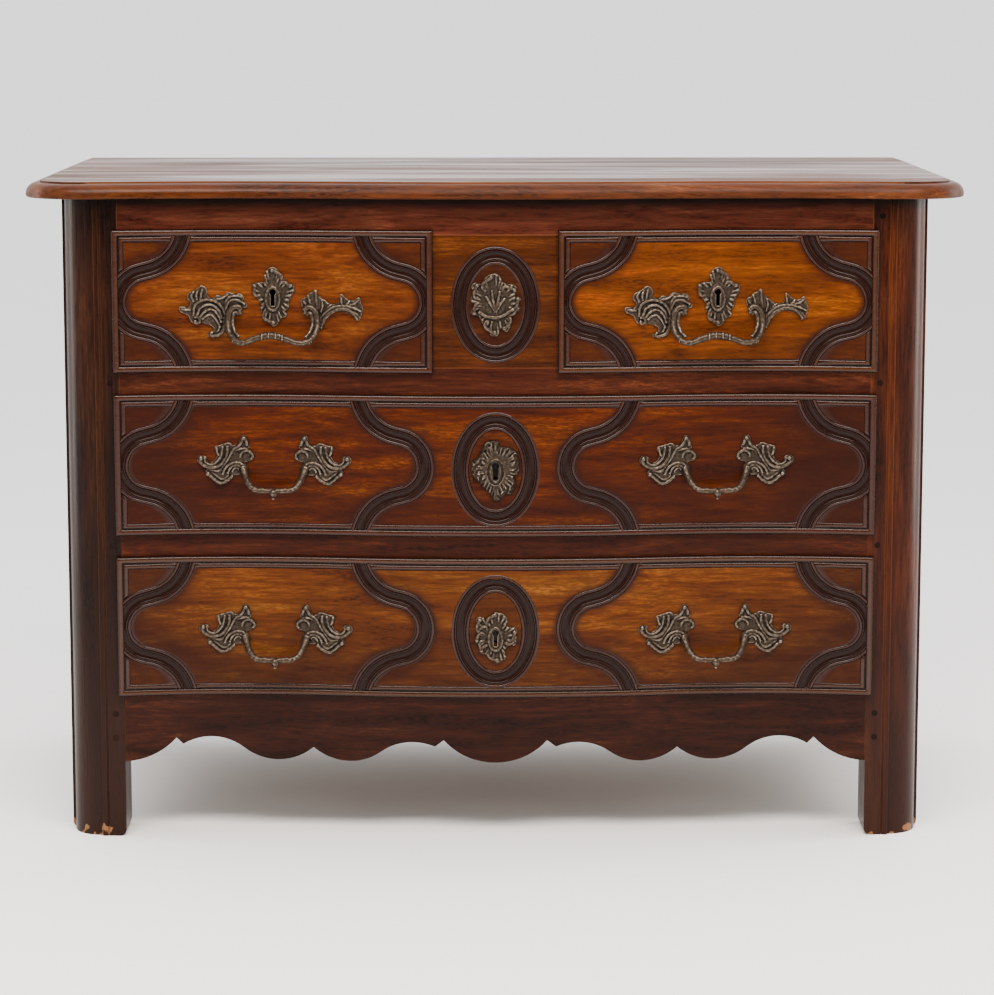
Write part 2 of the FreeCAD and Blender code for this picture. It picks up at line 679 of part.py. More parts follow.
def border_quirk(x0, x1, z0, z1):
    """Narrow groove round a drawer front, just inside its rounded lip."""
    outer, inner = BORDER_WIDTH, FIELD_INSET
    proud = LIP_PROUD - BORDER_QUIRK_DEPTH
    ring = ahead_of(proud, x0 + outer, x1 - outer, z0 + outer, z1 - outer)
    far = -BODY_DEPTH / 4
    return ring.cut(box(x0 + inner, x1 - inner, far, FRONT_BACK, z0 + inner, z1 - inner))


# Bronze mounts

def fitted_plate(prism, seat, thickness):
    """Plate with the outline of a prism through the front, bent to lie that far proud of the frame."""
    bounds = prism.BoundBox
    bounds.enlarge(thickness)
    inner, outer = seat + HARDWARE_GAP, seat + thickness
    return prism.common(front_skin(bounds.XMin, bounds.XMax, bounds.ZMin, bounds.ZMax, inner, outer))


class Handle:
    """One-piece bronze handle: two sprays of leaf lobes on studs, joined by a fixed bail."""

    def __init__(self, x, z, root, leaf, crest):
        self.x = x
        self.z = z
        self.root = root
        self.leaf = leaf
        self.crest = crest

    def place(self, side, outwards, up):
        return V(self.x + side * (self.root + outwards), 0, self.z + up)

    def lobe(self, side, tip):
        """Bent, tapering strip with a round end, from the leaf's hub to a tip, through the front."""
        hub = self.place(side, *LEAF_HUB)
        end = self.place(side, *tip)
        along = (end - hub).normalize()
        across = V(-along.z, 0, along.x)
        middle = (hub + end) / 2 + across * (side * LOBE_BULGE)
        width = (LOBE_ROOT + LOBE_TIP) / 4
        root, last = across * (LOBE_ROOT / 2), across * (LOBE_TIP / 2)
        return prism_y([
            arc(hub + root, middle + across * width, end + last),
            arc(end + last, end + along * (LOBE_TIP / 2), end - last),
            arc(end - last, middle - across * width, hub - root),
            line(hub - root, hub + root),
        ], -BODY_DEPTH / 4, FRONT_BACK)

    def spray(self, side):
        """One leaf: its lobes round a hub, and a pad that carries the bail."""
        hub = self.place(side, *LEAF_HUB)
        pad = self.place(side, 0, 0)
        far = -BODY_DEPTH / 4
        shapes = [self.lobe(side, tip) for tip in self.leaf.values()]
        shapes.append(cylinder_y(pad.x, pad.z, BAIL_PAD_RADIUS, far, FRONT_BACK))
        flat = cylinder_y(hub.x, hub.z, LEAF_HUB_RADIUS, far, FRONT_BACK).fuse(shapes)
        return fitted_plate(flat.removeSplitter(), LIP_PROUD, LEAF_THICKNESS)

    def studs(self):
        """Front-view places of the two studs that hold the handle."""
        return [self.place(side, *LEAF_HUB) for side in (-1, 1)]

    def bail(self):
        """Round bar along tangent arcs, drawn upright and then tilted out from the drawer front."""
        trough = self.root - BAIL_BEND
        crest = (0.0, self.crest - BAIL_REACH)
        edges = []
        for side in (-1, 1):
            low = (side * trough, -BAIL_REACH)
            edges.append(level_arc(low, (side * self.root, 0.0)))
            edges += s_curve(low, crest) if self.crest else [line(V(low[0], 0, low[1]), V(0, 0, crest[1]))]
        path = Part.Wire(Part.sortEdges(edges)[0])
        first = path.OrderedEdges[0]
        start = path.OrderedVertexes[0].Point
        section = Part.Wire(Part.makeCircle(BAIL_RADIUS, start, first.tangentAt(first.FirstParameter)))
        pieces = [path.makePipeShell([section], True, False)]
        if not self.crest:
            pieces.append(Part.makeSphere(BAIL_KNOB_RADIUS, V(0, 0, -BAIL_REACH)))
        return [self.tilted(piece) for piece in pieces]

    def tilted(self, piece):
        seat = LIP_PROUD + LEAF_THICKNESS / 2
        left = front_point(self.x - self.root, seat, self.z)
        right = front_point(self.x + self.root, seat, self.z)
        turn = math.atan2(right.y - left.y, right.x - left.x)
        piece.rotate(V(0, 0, 0), V(1, 0, 0), math.degrees(BAIL_TILT) - 90)
        piece.rotate(V(0, 0, 0), V(0, 0, 1), math.degrees(turn))
        piece.translate((left + right) / 2)
        return piece

    def solid(self):
        pieces = [self.spray(side) for side in (-1, 1)]
        for place in self.studs():
            start = front_depth(place.x, LIP_PROUD + LEAF_THICKNESS / 2)
            pieces.append(cylinder_y(place.x, place.z, STUD_RADIUS, start, FRONT_BACK + STUD_END))
        bail = self.bail()
        return bail[0].fuse(bail[1:] + pieces)


def cartouche(x, z, size, taper):
    """Oval of scalloped lobes for a key plate or a mount, narrower below by its taper."""
    half_width, half_height = size
    step = 2 * math.pi / ESCUTCHEON_LOBES

    def point(angle, share):
        narrow = 1 + taper * (math.sin(angle) - 1) / 2
        across = share * narrow * half_width * math.cos(angle)
        return V(x + across, 0, z + share * half_height * math.sin(angle))

    edges = []
    for lobe in range(ESCUTCHEON_LOBES):
        middle = math.pi / 2 + lobe * step
        notches = [point(middle + turn * step / 2, ESCUTCHEON_NOTCH) for turn in (-1, 1)]
        edges.append(arc(notches[0], point(middle, 1), notches[1]))
    return prism_y(edges, -BODY_DEPTH / 4, FRONT_BACK)


# Drawers

class Drawer:
    """One drawer: its opening, its lock and the bronze on it."""

    def __init__(self, name, x0, x1, row, plate_rise, plate_size, plate_taper, handles):
        self.name = name
        self.x0 = x0
        self.x1 = x1
        self.z = ROW_Z[row]
        self.middle_z = self.z + OPENING_HEIGHT / 2
        self.top = self.z + OPENING_HEIGHT - DRAWER_TOP_GAP
        self.left = x0 + DRAWER_SIDE_GAP
        self.right = x1 - DRAWER_SIDE_GAP
        self.rear = BOX_END - DRAWER_BACK_THICKNESS
        self.bottom_z = self.z + BOTTOM_RISE
        self.bottom_top = self.bottom_z + BOTTOM_THICKNESS
        self.lock_x = (x0 + x1) / 2
        self.plate_z = self.middle_z + plate_rise
        self.plate_size = plate_size
        self.plate_taper = plate_taper
        self.key_z = self.plate_z + EYE_RISE
        self.handles = handles

    def tails(self, outer, inwards, shoulder, tip):
        """Dovetails of the side whose outer face is at outer, from their shoulder to their tips."""
        solids = []
        root, wide = TAIL_ROOT / 2, TAIL_ROOT / 2 + TAIL_FLARE
        for number in range(TAIL_COUNT):
            z = self.z + TAIL_LOWER_MARGIN + number * TAIL_PITCH
            corners = [(shoulder, z - root), (tip, z - wide), (tip, z + wide), (shoulder, z + root)]
            points = [V(outer, FRONT_Y + depth, height) for depth, height in corners]
            face = Part.Face(Part.makePolygon(points + points[:1]))
            solids.append(face.extrude(V(inwards * SIDE_THICKNESS, 0, 0)))
        return solids

    def all_tails(self, shoulder, tip):
        return self.tails(self.left, 1, shoulder, tip) + self.tails(self.right, -1, shoulder, tip)

    def bottom(self):
        inset = SIDE_THICKNESS - BOTTOM_GROOVE
        near = FRONT_BACK - BOTTOM_GROOVE
        return box(self.left + inset, self.right - inset, near, BOX_END, self.bottom_z, self.bottom_top)

    def side(self, outer, inwards):
        inner = outer + inwards * SIDE_THICKNESS
        low, high = min(outer, inner), max(outer, inner)
        board = box(low, high, FRONT_BACK, self.rear, self.z, self.top)
        foot = box(low, high, self.rear, BOX_END, self.z, self.bottom_top)
        tails = self.tails(outer, inwards, FRONT_BACK, TAIL_TIP)
        tails += self.tails(outer, inwards, self.rear, BOX_END)
        return board.fuse([foot] + tails).cut(self.bottom()).removeSplitter()

    def back(self):
        top = self.top - DRAWER_BACK_DROP
        board = box(self.left, self.right, self.rear, BOX_END, self.bottom_top, top)
        return board.cut(self.all_tails(self.rear, BOX_END))

    def keyhole(self, depth0, depth1):
        eye = cylinder_y(self.lock_x, self.key_z, KEYHOLE_RADIUS, depth0, depth1)
        half = KEYHOLE_SLOT / 2
        low = self.key_z - KEYHOLE_LENGTH
        return eye.fuse(box(self.lock_x - half, self.lock_x + half, depth0, depth1, low, self.key_z))

    def lock_box(self):
        half = LOCK_WIDTH / 2
        near, low = FRONT_BACK - LOCK_THICKNESS, self.key_z - KEYHOLE_LENGTH - LOCK_FOOT
        return box(self.lock_x - half, self.lock_x + half, near, FRONT_BACK, low, self.top)

    def bolt_space(self, clearance, low, high):
        half = BOLT_WIDTH / 2 + clearance
        near, far = BOLT_FRONT - clearance, BOLT_FRONT + BOLT_THICKNESS + clearance
        return box(self.lock_x - half, self.lock_x + half, near, far, low, high)

    def lock_bolt(self):
        return self.bolt_space(0, self.top - BOLT_HEIGHT, self.top)

    def lock_case(self):
        way = self.bolt_space(BOLT_CLEARANCE, self.top - BOLT_HEIGHT, self.top)
        return self.lock_box().cut([way, self.keyhole(0, FRONT_BACK)])

    def strike(self):
        """Slot in the rail above, which takes the bolt when the drawer is locked."""
        ceiling = self.z + OPENING_HEIGHT
        return self.bolt_space(2 * BOLT_CLEARANCE, ceiling, ceiling + BOLT_TRAVEL)

    def escutcheon(self):
        prism = cartouche(self.lock_x, self.plate_z, self.plate_size, self.plate_taper)
        plate = fitted_plate(prism, LIP_PROUD, ESCUTCHEON_THICKNESS)
        return plate.cut(self.keyhole(-BODY_DEPTH / 4, FRONT_BACK))

    def lipped_board(self, x0, x1, z0, z1):
        """Core that fills the opening and a rounded lip that closes on the frame around it."""
        lip = front_skin(x0, x1, z0, z1, LIP_GAP, LIP_PROUD)
        rim = []
        for edge in lip.Edges:
            middle = edge.valueAt((edge.FirstParameter + edge.LastParameter) / 2)
            if abs(middle.y - front_point(middle.x, LIP_PROUD).y) < LIP_GAP:
                level = min(abs(middle.z - z0), abs(middle.z - z1))
                end = min(abs(middle.x - x0), abs(middle.x - x1))
                if min(level, end) < LIP_GAP:
                    rim.append(edge)
        core_z = self.z + FRONT_FOOT_GAP
        core = front_board(self.left, self.right, core_z, self.top, 2 * LIP_GAP, FRONT_BACK)
        return lip.makeFillet(LIP_ROUND, rim).fuse(core)

    def carving(self, x0, x1, z0, z1):
        inset = BORDER_WIDTH
        region = ahead_of(LIP_PROUD - BAND_DEPTH, x0 + inset, x1 - inset, z0 + inset, z1 - inset)
        tools = [border_quirk(x0, x1, z0, z1)]
        tips = [(x0 + ACCOLADE_END_INSET, 1), (-ACCOLADE_MIDDLE_X, -1)]
        tips += [(ACCOLADE_MIDDLE_X, 1), (x1 - ACCOLADE_END_INSET, -1)]
        for tip_x, way in tips:
            if x0 < tip_x < x1:
                tools.append(accolade_channel(tip_x, self.middle_z, way, region))
        if x0 < 0 < x1:
            tools.append(oval_channel(self.middle_z - OVAL_DROP, region))
        return tools

    def front(self):
        x0, x1 = self.x0 - LIP_OVERLAP, self.x1 + LIP_OVERLAP
        z0, z1 = self.z - LIP_OVERLAP, self.z + OPENING_HEIGHT + LIP_OVERLAP
        far = -BODY_DEPTH / 4
        fits = [self.lock_box(), self.keyhole(far, FRONT_BACK), self.bottom()]
        fits += self.all_tails(FRONT_BACK, TAIL_TIP)
        for handle in self.handles:
            for place in handle.studs():
                fits.append(cylinder_y(place.x, place.z, STUD_RADIUS + STUD_CLEARANCE, far, FRONT_BACK))
        return self.lipped_board(x0, x1, z0, z1).cut(self.carving(x0, x1, z0, z1) + fits)

    def save(self):
        save(self.name + "_front", self.front())
        save(self.name + "_left_side", self.side(self.left, 1))
        save(self.name + "_right_side", self.side(self.right, -1))
        save(self.name + "_back", self.back())
        save(self.name + "_bottom", self.bottom())
        save(self.name + "_lock_case", self.lock_case())
        save(self.name + "_lock_bolt", self.lock_bolt())
        save(self.name + "_escutcheon", self.escutcheon())
        ending = "_handle" if len(self.handles) == 1 else "_handles"
        save(self.name + ending, *[handle.solid() for handle in self.handles])


def make_drawers():
    panel_x = PANEL_WIDTH / 2
    middle_x = (panel_x + OPENING_X) / 2
    heights = [z + OPENING_HEIGHT / 2 for z in ROW_Z]
    drawers = []
    for side, x0, x1 in (("left", -OPENING_X, -panel_x), ("right", panel_x, OPENING_X)):
        z = heights[2] + UPPER_HANDLE_RISE
        handle = Handle((x0 + x1) / 2, z, SHORT_HANDLE_ROOT, SHORT_LEAF, SHORT_CREST)
        name = "upper_" + side + "_drawer"
        drawers.append(Drawer(name, x0, x1, 2, UPPER_PLATE_RISE, SHORT_ESCUTCHEON, SHIELD_TAPER, [handle]))
    long_rows = (
        ("middle_drawer", 1, MIDDLE_HANDLE_RISE, MIDDLE_PLATE_RISE, MIDDLE_ESCUTCHEON),
        ("lower_drawer", 0, LOWER_HANDLE_RISE, LOWER_PLATE_RISE, LOWER_ESCUTCHEON),
    )
    for name, row, rise, plate_rise, plate in long_rows:
        z = heights[row] + rise
        handles = [Handle(x, z, LONG_HANDLE_ROOT, LONG_LEAF, LONG_CREST) for x in (-middle_x, middle_x)]
        drawers.append(Drawer(name, -OPENING_X, OPENING_X, row, plate_rise, plate, 0, handles))
    return drawers


def save_carcass(drawers):
    pegs = peg_set(PEG_RADIUS)
    holes = peg_set(PEG_RADIUS + PEG_CLEARANCE)
    rail_holes, side_holes, top_holes = [group + [mirrored(hole) for hole in group] for group in holes]
    pegs = [peg for group in pegs for peg in group]
    save("frame_pegs", *(pegs + [mirrored(peg) for peg in pegs]))

    top_front, top_back = top_boards(top_holes)
    save("top_front_board", top_front)
    save("top_back_board", top_back)

    rails = {
        "front_top_rail": (TOP_RAIL_Z, STILE_TOP),
        "upper_drawer_rail": (ROW_Z[2] - RAIL_HEIGHT, ROW_Z[2]),
        "lower_drawer_rail": (ROW_Z[1] - RAIL_HEIGHT, ROW_Z[1]),
    }
    cuts = rail_holes + top_holes + panel_tenons() + [drawer.strike() for drawer in drawers]
    for name, (z0, z1) in rails.items():
        save(name, front_rail(z0, z1, STILE_DEPTH).cut(cuts))
    save("front_apron", front_apron().cut(rail_holes))
    save("centre_panel", centre_panel())

    side_upper = (STILE_TOP - SIDE_UPPER_RAIL, STILE_TOP)
    side_lower = (FOOT_HEIGHT, FOOT_HEIGHT + SIDE_LOWER_RAIL)
    side_joints = side_tenons(*side_upper) + side_tenons(*side_lower) + [side_panel_tongue()]
    back_upper = (STILE_TOP - BACK_RAIL_HEIGHT, STILE_TOP)
    back_lower = (FOOT_HEIGHT, FOOT_HEIGHT + BACK_RAIL_HEIGHT)
    front_joints = [front_tenon(*span) for span in rails.values()] + [front_tenon(FOOT_HEIGHT, APRON_TOP)]
    stile = front_stile().cut(front_joints + side_joints + rail_holes + side_holes)
    back_joints = [back_tenon(*back_upper), back_tenon(*back_lower), back_panel()]
    rear = rear_stile().cut(back_joints + side_joints + side_holes)
    side_cuts = [side_panel_tongue()] + side_holes + top_holes
    left_pieces = {
        "side_upper_rail": side_rail(*side_upper).cut(side_cuts),
        "side_lower_rail": side_rail(*side_lower).cut(side_cuts),
        "side_panel": side_panel(),
    }
    for side, place in (("left", lambda shape: shape), ("right", mirrored)):
        save("front_" + side + "_stile", place(stile))
        save("rear_" + side + "_stile", place(rear))
        for name, shape in left_pieces.items():
            save(side + "_" + name, place(shape))
    save("back_upper_rail", back_rail(*back_upper).cut(back_panel()))
    save("back_lower_rail", back_rail(*back_lower).cut(back_panel()))
    save("back_panel", back_panel())

    runners = [side_runner(z) for z in ROW_Z]
    save("side_runners", *(runners + [mirrored(runner) for runner in runners]))
    save("centre_runner", centre_runner(ROW_Z[2]))


def centre_mount():
    z = ROW_Z[2] + OPENING_HEIGHT / 2 - OVAL_DROP
    return fitted_plate(cartouche(0, z, CENTRE_MOUNT, 0), 0, ESCUTCHEON_THICKNESS)


os.makedirs("parts", exist_ok=True)
all_drawers = make_drawers()
save_carcass(all_drawers)
save("centre_mount", centre_mount())
for one in all_drawers:
    one.save()
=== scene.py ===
# %% [markdown]
# # A walnut commode with a serpentine front
#
# The CAD model already holds the joinery of this chest: the frame, four drawers, their locks and
# bronze. This lesson dresses it. Flat CAD faces become worn boards, the drawer fronts get their
# carved mouldings, and the bronze becomes castings. Every new piece keeps its place in its mesh and
# rides on the body that carries it, so a drawer takes its own front and handles along.
# %% Load the frame
import json
import math

import bmesh
import bpy
from mathutils import Matrix, Vector, noise


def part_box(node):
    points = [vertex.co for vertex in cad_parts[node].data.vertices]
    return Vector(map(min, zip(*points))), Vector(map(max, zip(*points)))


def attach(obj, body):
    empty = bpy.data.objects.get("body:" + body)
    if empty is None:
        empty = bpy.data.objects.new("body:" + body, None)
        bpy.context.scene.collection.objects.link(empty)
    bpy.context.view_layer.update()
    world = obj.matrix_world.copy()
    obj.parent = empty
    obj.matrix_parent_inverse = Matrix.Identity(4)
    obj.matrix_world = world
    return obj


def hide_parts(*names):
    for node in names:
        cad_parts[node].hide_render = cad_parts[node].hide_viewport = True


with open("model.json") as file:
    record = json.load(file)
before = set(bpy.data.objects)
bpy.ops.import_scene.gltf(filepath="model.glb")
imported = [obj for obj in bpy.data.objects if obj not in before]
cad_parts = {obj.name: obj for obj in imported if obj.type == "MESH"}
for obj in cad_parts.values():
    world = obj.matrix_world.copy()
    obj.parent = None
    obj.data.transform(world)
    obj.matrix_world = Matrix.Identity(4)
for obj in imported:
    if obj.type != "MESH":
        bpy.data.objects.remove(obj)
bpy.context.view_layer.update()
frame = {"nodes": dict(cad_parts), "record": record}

MM = 0.001
BODY_OF = {}
for body, members in frame["record"]["behaviour"]["bodies"].items():
    BODY_OF.update({node: body for node in members})
print("CAD nodes:", len(BODY_OF), "on bodies:", len(set(BODY_OF.values())))

# %% [markdown]
# ## Camera
#
# The photograph was taken with a long lens from a little above the top. A fit of the outline gives
# the place of the camera and a focal length of about three image heights. The lens looks down less
# than the view needs, and a small shift makes up for it, so that upright edges stay nearly parallel.
# %% Camera
IMAGE_SIDE = 995
FOCAL_PIXELS = 3154
SENSOR = 36.0
LOOKING_DOWN = math.radians(8.227)
TURNED_ASIDE = math.radians(-0.34)
LENS_SHIFT = -0.048
CAMERA_PLACE = (-0.0226, -4.459, 1.135)

lens = bpy.data.cameras.new("studio_camera")
lens.sensor_width = SENSOR
lens.lens = SENSOR * FOCAL_PIXELS / IMAGE_SIDE
lens.shift_y = LENS_SHIFT
camera = bpy.data.objects.new("studio_camera", lens)
camera.location = CAMERA_PLACE
camera.rotation_euler = (math.pi / 2 - LOOKING_DOWN, 0, TURNED_ASIDE)
bpy.context.scene.collection.objects.link(camera)
bpy.context.scene.camera = camera
print("lens of", round(lens.lens, 1), "mm")

# %% [markdown]
# ## Shader helper
#
# All finishes here are procedural. One small function adds any shader node: a socket that gets
# another socket is linked, one that gets a plain value is set, and a colour ramp takes its stops.
# Colours are written as the eye knows them, in sRGB hex, and turned into linear light once.
# %% Colours and nodes
MIX = {"data_type": "RGBA"}
OVERLAY = {"data_type": "RGBA", "blend_type": "OVERLAY"}


def linear(code):
    """Linear RGBA of an sRGB hex colour."""
    channels = [int(code[i:i + 2], 16) / 255 for i in (1, 3, 5)]
    curve = [c / 12.92 if c <= 0.04045 else ((c + 0.055) / 1.055) ** 2.4 for c in channels]
    return (*curve, 1.0)


def add(tree, kind, settings=None, sockets=None, stops=()):
    """New shader node; sockets maps a name or number to another node's output or to a value.

    A colour ramp also gets its stops, each a position and a hex colour.
    """
    node = tree.nodes.new("ShaderNode" + kind)
    for key, value in (settings or {}).items():
        setattr(node, key, value)
    for key, value in (sockets or {}).items():
        if isinstance(value, bpy.types.NodeSocket):
            tree.links.new(value, node.inputs[key])
        else:
            node.inputs[key].default_value = value
    while stops and len(node.color_ramp.elements) < len(stops):
        node.color_ramp.elements.new(0.5)
    for number, (position, code) in enumerate(stops):
        node.color_ramp.elements[number].position = position
        node.color_ramp.elements[number].color = linear(code)
    return node


def new_material(name):
    """New material with its node tree and its main shader."""
    material = bpy.data.materials.new(name)
    material.use_nodes = True
    return material, material.node_tree, material.node_tree.nodes["Principled BSDF"]


print("the middle grey #808080 is", round(linear("#808080")[0], 3), "in linear light")

# %% [markdown]
# ## Walnut
#
# Old polished walnut is streaky along the grain: pale sapwood runs beside dark heartwood, small dark
# pores lie along it, and the shellac has turned orange where the sun reached it. Streaks, lines and
# pores are noises stretched along the grain, which is turned to each board's own direction. Feet are
# darker towards the floor and chipped at it, and the corner under the top gets a painted shadow.
# %% Grain, feet and painted shadow under the top
GRAIN_TURN = {"X": (0, 0, 0), "Y": (0, 0, math.pi / 2), "Z": (0, math.pi / 2, 0)}
# Noise cells in a metre, along the grain and across it, for streaks 22 mm, clouds 140 mm and lines 3 mm wide
STREAK = (4.0, 46.0, 46.0)
FIGURE = (3.0, 7.0, 7.0)
LINES = (20.0, 300.0, 300.0)
# Real pores are a third of a millimetre wide; drawn coarser so that they show in a picture
PORES = (110.0, 560.0, 560.0)
# Facets of a gouge are about 11 mm long, and chips at the feet about twice that
TOOL_MARKS = (90.0, 90.0, 90.0)
CHIPS = (45.0, 45.0, 38.0)
CHIP_HEIGHT = 0.028
# Heights between which the stiles grow darker towards the floor
FEET_DARKEST_BELOW = 0.08
FEET_DARKENING_ENDS = 0.34
# Painted shadow in the corner right under the top, where its overhang shades the frame
UNDER_TOP_SHADE_FROM = 0.848
UNDER_TOP_SHADE_TO = 0.862


def stretched_noise(tree, vector, scale, detail, wander=0.0):
    """Noise with its own number of cells in a metre along each axis."""
    mapped = add(tree, "Mapping", None, {"Vector": vector, "Scale": scale})
    settings = {"Vector": mapped.outputs[0], "Scale": 1.0, "Detail": detail, "Distortion": wander}
    return add(tree, "TexNoise", None, settings).outputs[0]


def dark_and_chipped_feet(tree, place, wood):
    """Darker towards the floor, with bare wood in ragged chips at its end."""
    height = add(tree, "SeparateXYZ", None, {0: place}).outputs["Z"]
    reach = {0: height, 1: FEET_DARKEST_BELOW, 2: FEET_DARKENING_ENDS, 3: 0.75, 4: 0.0}
    darkening = add(tree, "MapRange", None, reach).outputs[0]
    wood = add(tree, "Mix", MIX, {0: darkening, 6: wood, 7: linear("#24130d")}).outputs[2]
    ragged = stretched_noise(tree, place, CHIPS, 6.0, 0.6)
    low = add(tree, "MapRange", None, {0: height, 1: 0.0, 2: CHIP_HEIGHT, 3: 0.5, 4: 0.2}).outputs[0]
    share = add(tree, "Math", {"operation": "LESS_THAN"}, {0: ragged, 1: low}).outputs[0]
    return add(tree, "Mix", MIX, {0: share, 6: wood, 7: linear("#7a5436")}).outputs[2]


def painted_shade_under_top(tree, place, wood):
    """Painted shadow: black in the corner under the top."""
    height = add(tree, "SeparateXYZ", None, {0: place}).outputs["Z"]
    reach = {0: height, 1: UNDER_TOP_SHADE_FROM, 2: UNDER_TOP_SHADE_TO, 3: 0.0, 4: 0.95}
    share = add(tree, "MapRange", None, reach).outputs[0]
    return add(tree, "Mix", MIX, {0: share, 6: wood, 7: linear("#0e0604")}).outputs[2]


print("grain along", ", ".join(GRAIN_TURN))

# %% [markdown]
# Carved wood was waxed for two centuries. A brown film lies where the cloth passed, and a purplish
# black fills the grooves, partly a wax crust and partly painted shade of the recesses. The cloth also
# buffs the beads, while dust takes the shine of the coves. How much wax and painted shade lie at a
# point comes from an attribute of the mesh, 0 for none and 1 for a black crust.
# %% Wax
BEAD_WAX = 0.60
BUFFED_FROM = 0.55
BEAD_SHINE = 0.27
COVE_SHINE = 0.12


def wax_film_and_shade(tree, waxed, wood):
    """Brown film that thickens into a black crust, which in the recesses is also painted shade."""
    film = add(tree, "MapRange", None, {0: waxed, 1: 0.0, 2: BEAD_WAX}).outputs[0]
    crust_and_shade = add(tree, "MapRange", None, {0: waxed, 1: 0.65, 2: 1.0}).outputs[0]
    wood = add(tree, "Mix", MIX, {0: film, 6: wood, 7: linear("#220b05")}).outputs[2]
    return add(tree, "Mix", MIX, {0: crust_and_shade, 6: wood, 7: linear("#120a08")}).outputs[2]


def wax_shine(tree, waxed, polish):
    """Shine that rises from the field to the beads and falls again in the dusty coves."""
    rise = {0: waxed, 1: BUFFED_FROM, 2: BEAD_WAX, 3: polish, 4: BEAD_SHINE}
    fall = {0: waxed, 1: 0.64, 2: 0.74, 3: BEAD_SHINE, 4: COVE_SHINE}
    buffed, dusty = [add(tree, "MapRange", None, reach).outputs[0] for reach in (rise, fall)]
    return add(tree, "Math", {"operation": "MINIMUM"}, {0: buffed, 1: dusty}).outputs[0]


print("beads shine", BEAD_SHINE, "and coves", COVE_SHINE)

# %% [markdown]
# One function makes every walnut of the chest. Its colours run from dark to light across the streaks,
# and traits say what else a board gets: "carved" brings tool marks, wax and painted shade in the
# recesses, "feet" a darkening towards the floor and chips, "under_top" a painted shadow under the top,
# and "streaky" a polish that has gone matt in long streaks.
# %% Walnut
# Matt streaks are about 70 mm wide and half a metre long
MATT_STREAK = (2.0, 15.0, 15.0)
TOOL_CUT = 0.5
PLANE_CUT = 0.05


def walnut(name, grain, colours, *traits, gloss=0.36, polish=0.08):
    """Polished walnut with its grain along X, Y or Z and its colours from dark to light."""
    dark, middle, light = colours
    material, tree, shader = new_material(name)
    place = add(tree, "TexCoord").outputs["Object"]
    turned = add(tree, "Mapping", None, {"Vector": place, "Rotation": GRAIN_TURN[grain]}).outputs[0]
    streaks = stretched_noise(tree, turned, STREAK, 9.0, 0.7)
    figure = stretched_noise(tree, turned, FIGURE, 4.0, 0.8)
    lines = stretched_noise(tree, turned, LINES, 5.0, 0.5)
    pores = stretched_noise(tree, turned, PORES, 3.0)
    tones = ((0.32, dark), (0.52, middle), (0.74, light))
    wood = add(tree, "ValToRGB", None, {0: streaks}, tones).outputs[0]
    clouds = add(tree, "ValToRGB", None, {0: figure}, ((0.36, "#5c5c5c"), (0.64, "#a2a2a2"))).outputs[0]
    wood = add(tree, "Mix", OVERLAY, {0: 0.75, 6: wood, 7: clouds}).outputs[2]
    hairs = add(tree, "ValToRGB", None, {0: lines}, ((0.36, "#444444"), (0.64, "#acacac"))).outputs[0]
    wood = add(tree, "Mix", OVERLAY, {0: 0.75, 6: wood, 7: hairs}).outputs[2]
    pore_share = add(tree, "MapRange", None, {0: pores, 1: 0.58, 2: 0.40, 3: 0.0, 4: 0.7}).outputs[0]
    wood = add(tree, "Mix", MIX, {0: pore_share, 6: wood, 7: linear(dark)}).outputs[2]
    shader.inputs["Specular IOR Level"].default_value = polish
    marks, cut_depth, rubbed = lines, PLANE_CUT, gloss
    if "carved" in traits:
        # The wax attribute carries wax and painted shade: recesses, hollows and parts of the field are
        # darkened
        waxed = add(tree, "Attribute", {"attribute_name": "wax"}).outputs["Fac"]
        wood = wax_film_and_shade(tree, waxed, wood)
        tree.links.new(wax_shine(tree, waxed, polish), shader.inputs["Specular IOR Level"])
        marks, cut_depth = stretched_noise(tree, place, TOOL_MARKS, 3.0, 0.5), TOOL_CUT
        smoother = {0: waxed, 1: BUFFED_FROM, 2: BEAD_WAX, 3: gloss, 4: gloss - 0.12}
        rubbed = add(tree, "MapRange", None, smoother).outputs[0]
    worn = add(tree, "Attribute", {"attribute_name": "worn"}).outputs["Fac"]
    wood = add(tree, "Mix", MIX, {0: worn, 6: wood, 7: linear(light)}).outputs[2]
    for trait, added_tone in (("feet", dark_and_chipped_feet), ("under_top", painted_shade_under_top)):
        wood = added_tone(tree, place, wood) if trait in traits else wood
    tree.links.new(wood, shader.inputs["Base Color"])
    haze = {0: marks, 1: 0.3, 2: 0.7, 3: -0.08, 4: 0.08}
    if "streaky" in traits:
        matt = stretched_noise(tree, turned, MATT_STREAK, 7.0, 0.6)
        haze = {0: matt, 1: 0.36, 2: 0.66, 3: -0.12, 4: 0.18}
    haze = add(tree, "MapRange", None, haze).outputs[0]
    rough = add(tree, "Math", {"operation": "ADD"}, {0: rubbed, 1: haze}).outputs[0]
    tree.links.new(rough, shader.inputs["Roughness"])
    cut = {"Strength": cut_depth, "Distance": 0.5 * MM, "Height": marks}
    cut = add(tree, "Bump", None, cut).outputs[0]
    open_pores = {"Strength": 0.15, "Distance": 0.4 * MM, "Height": pores, "Normal": cut}
    tree.links.new(add(tree, "Bump", None, open_pores).outputs[0], shader.inputs["Normal"])
    return material


print("tool marks", TOOL_CUT / PLANE_CUT, "times as deep as those of a plane")

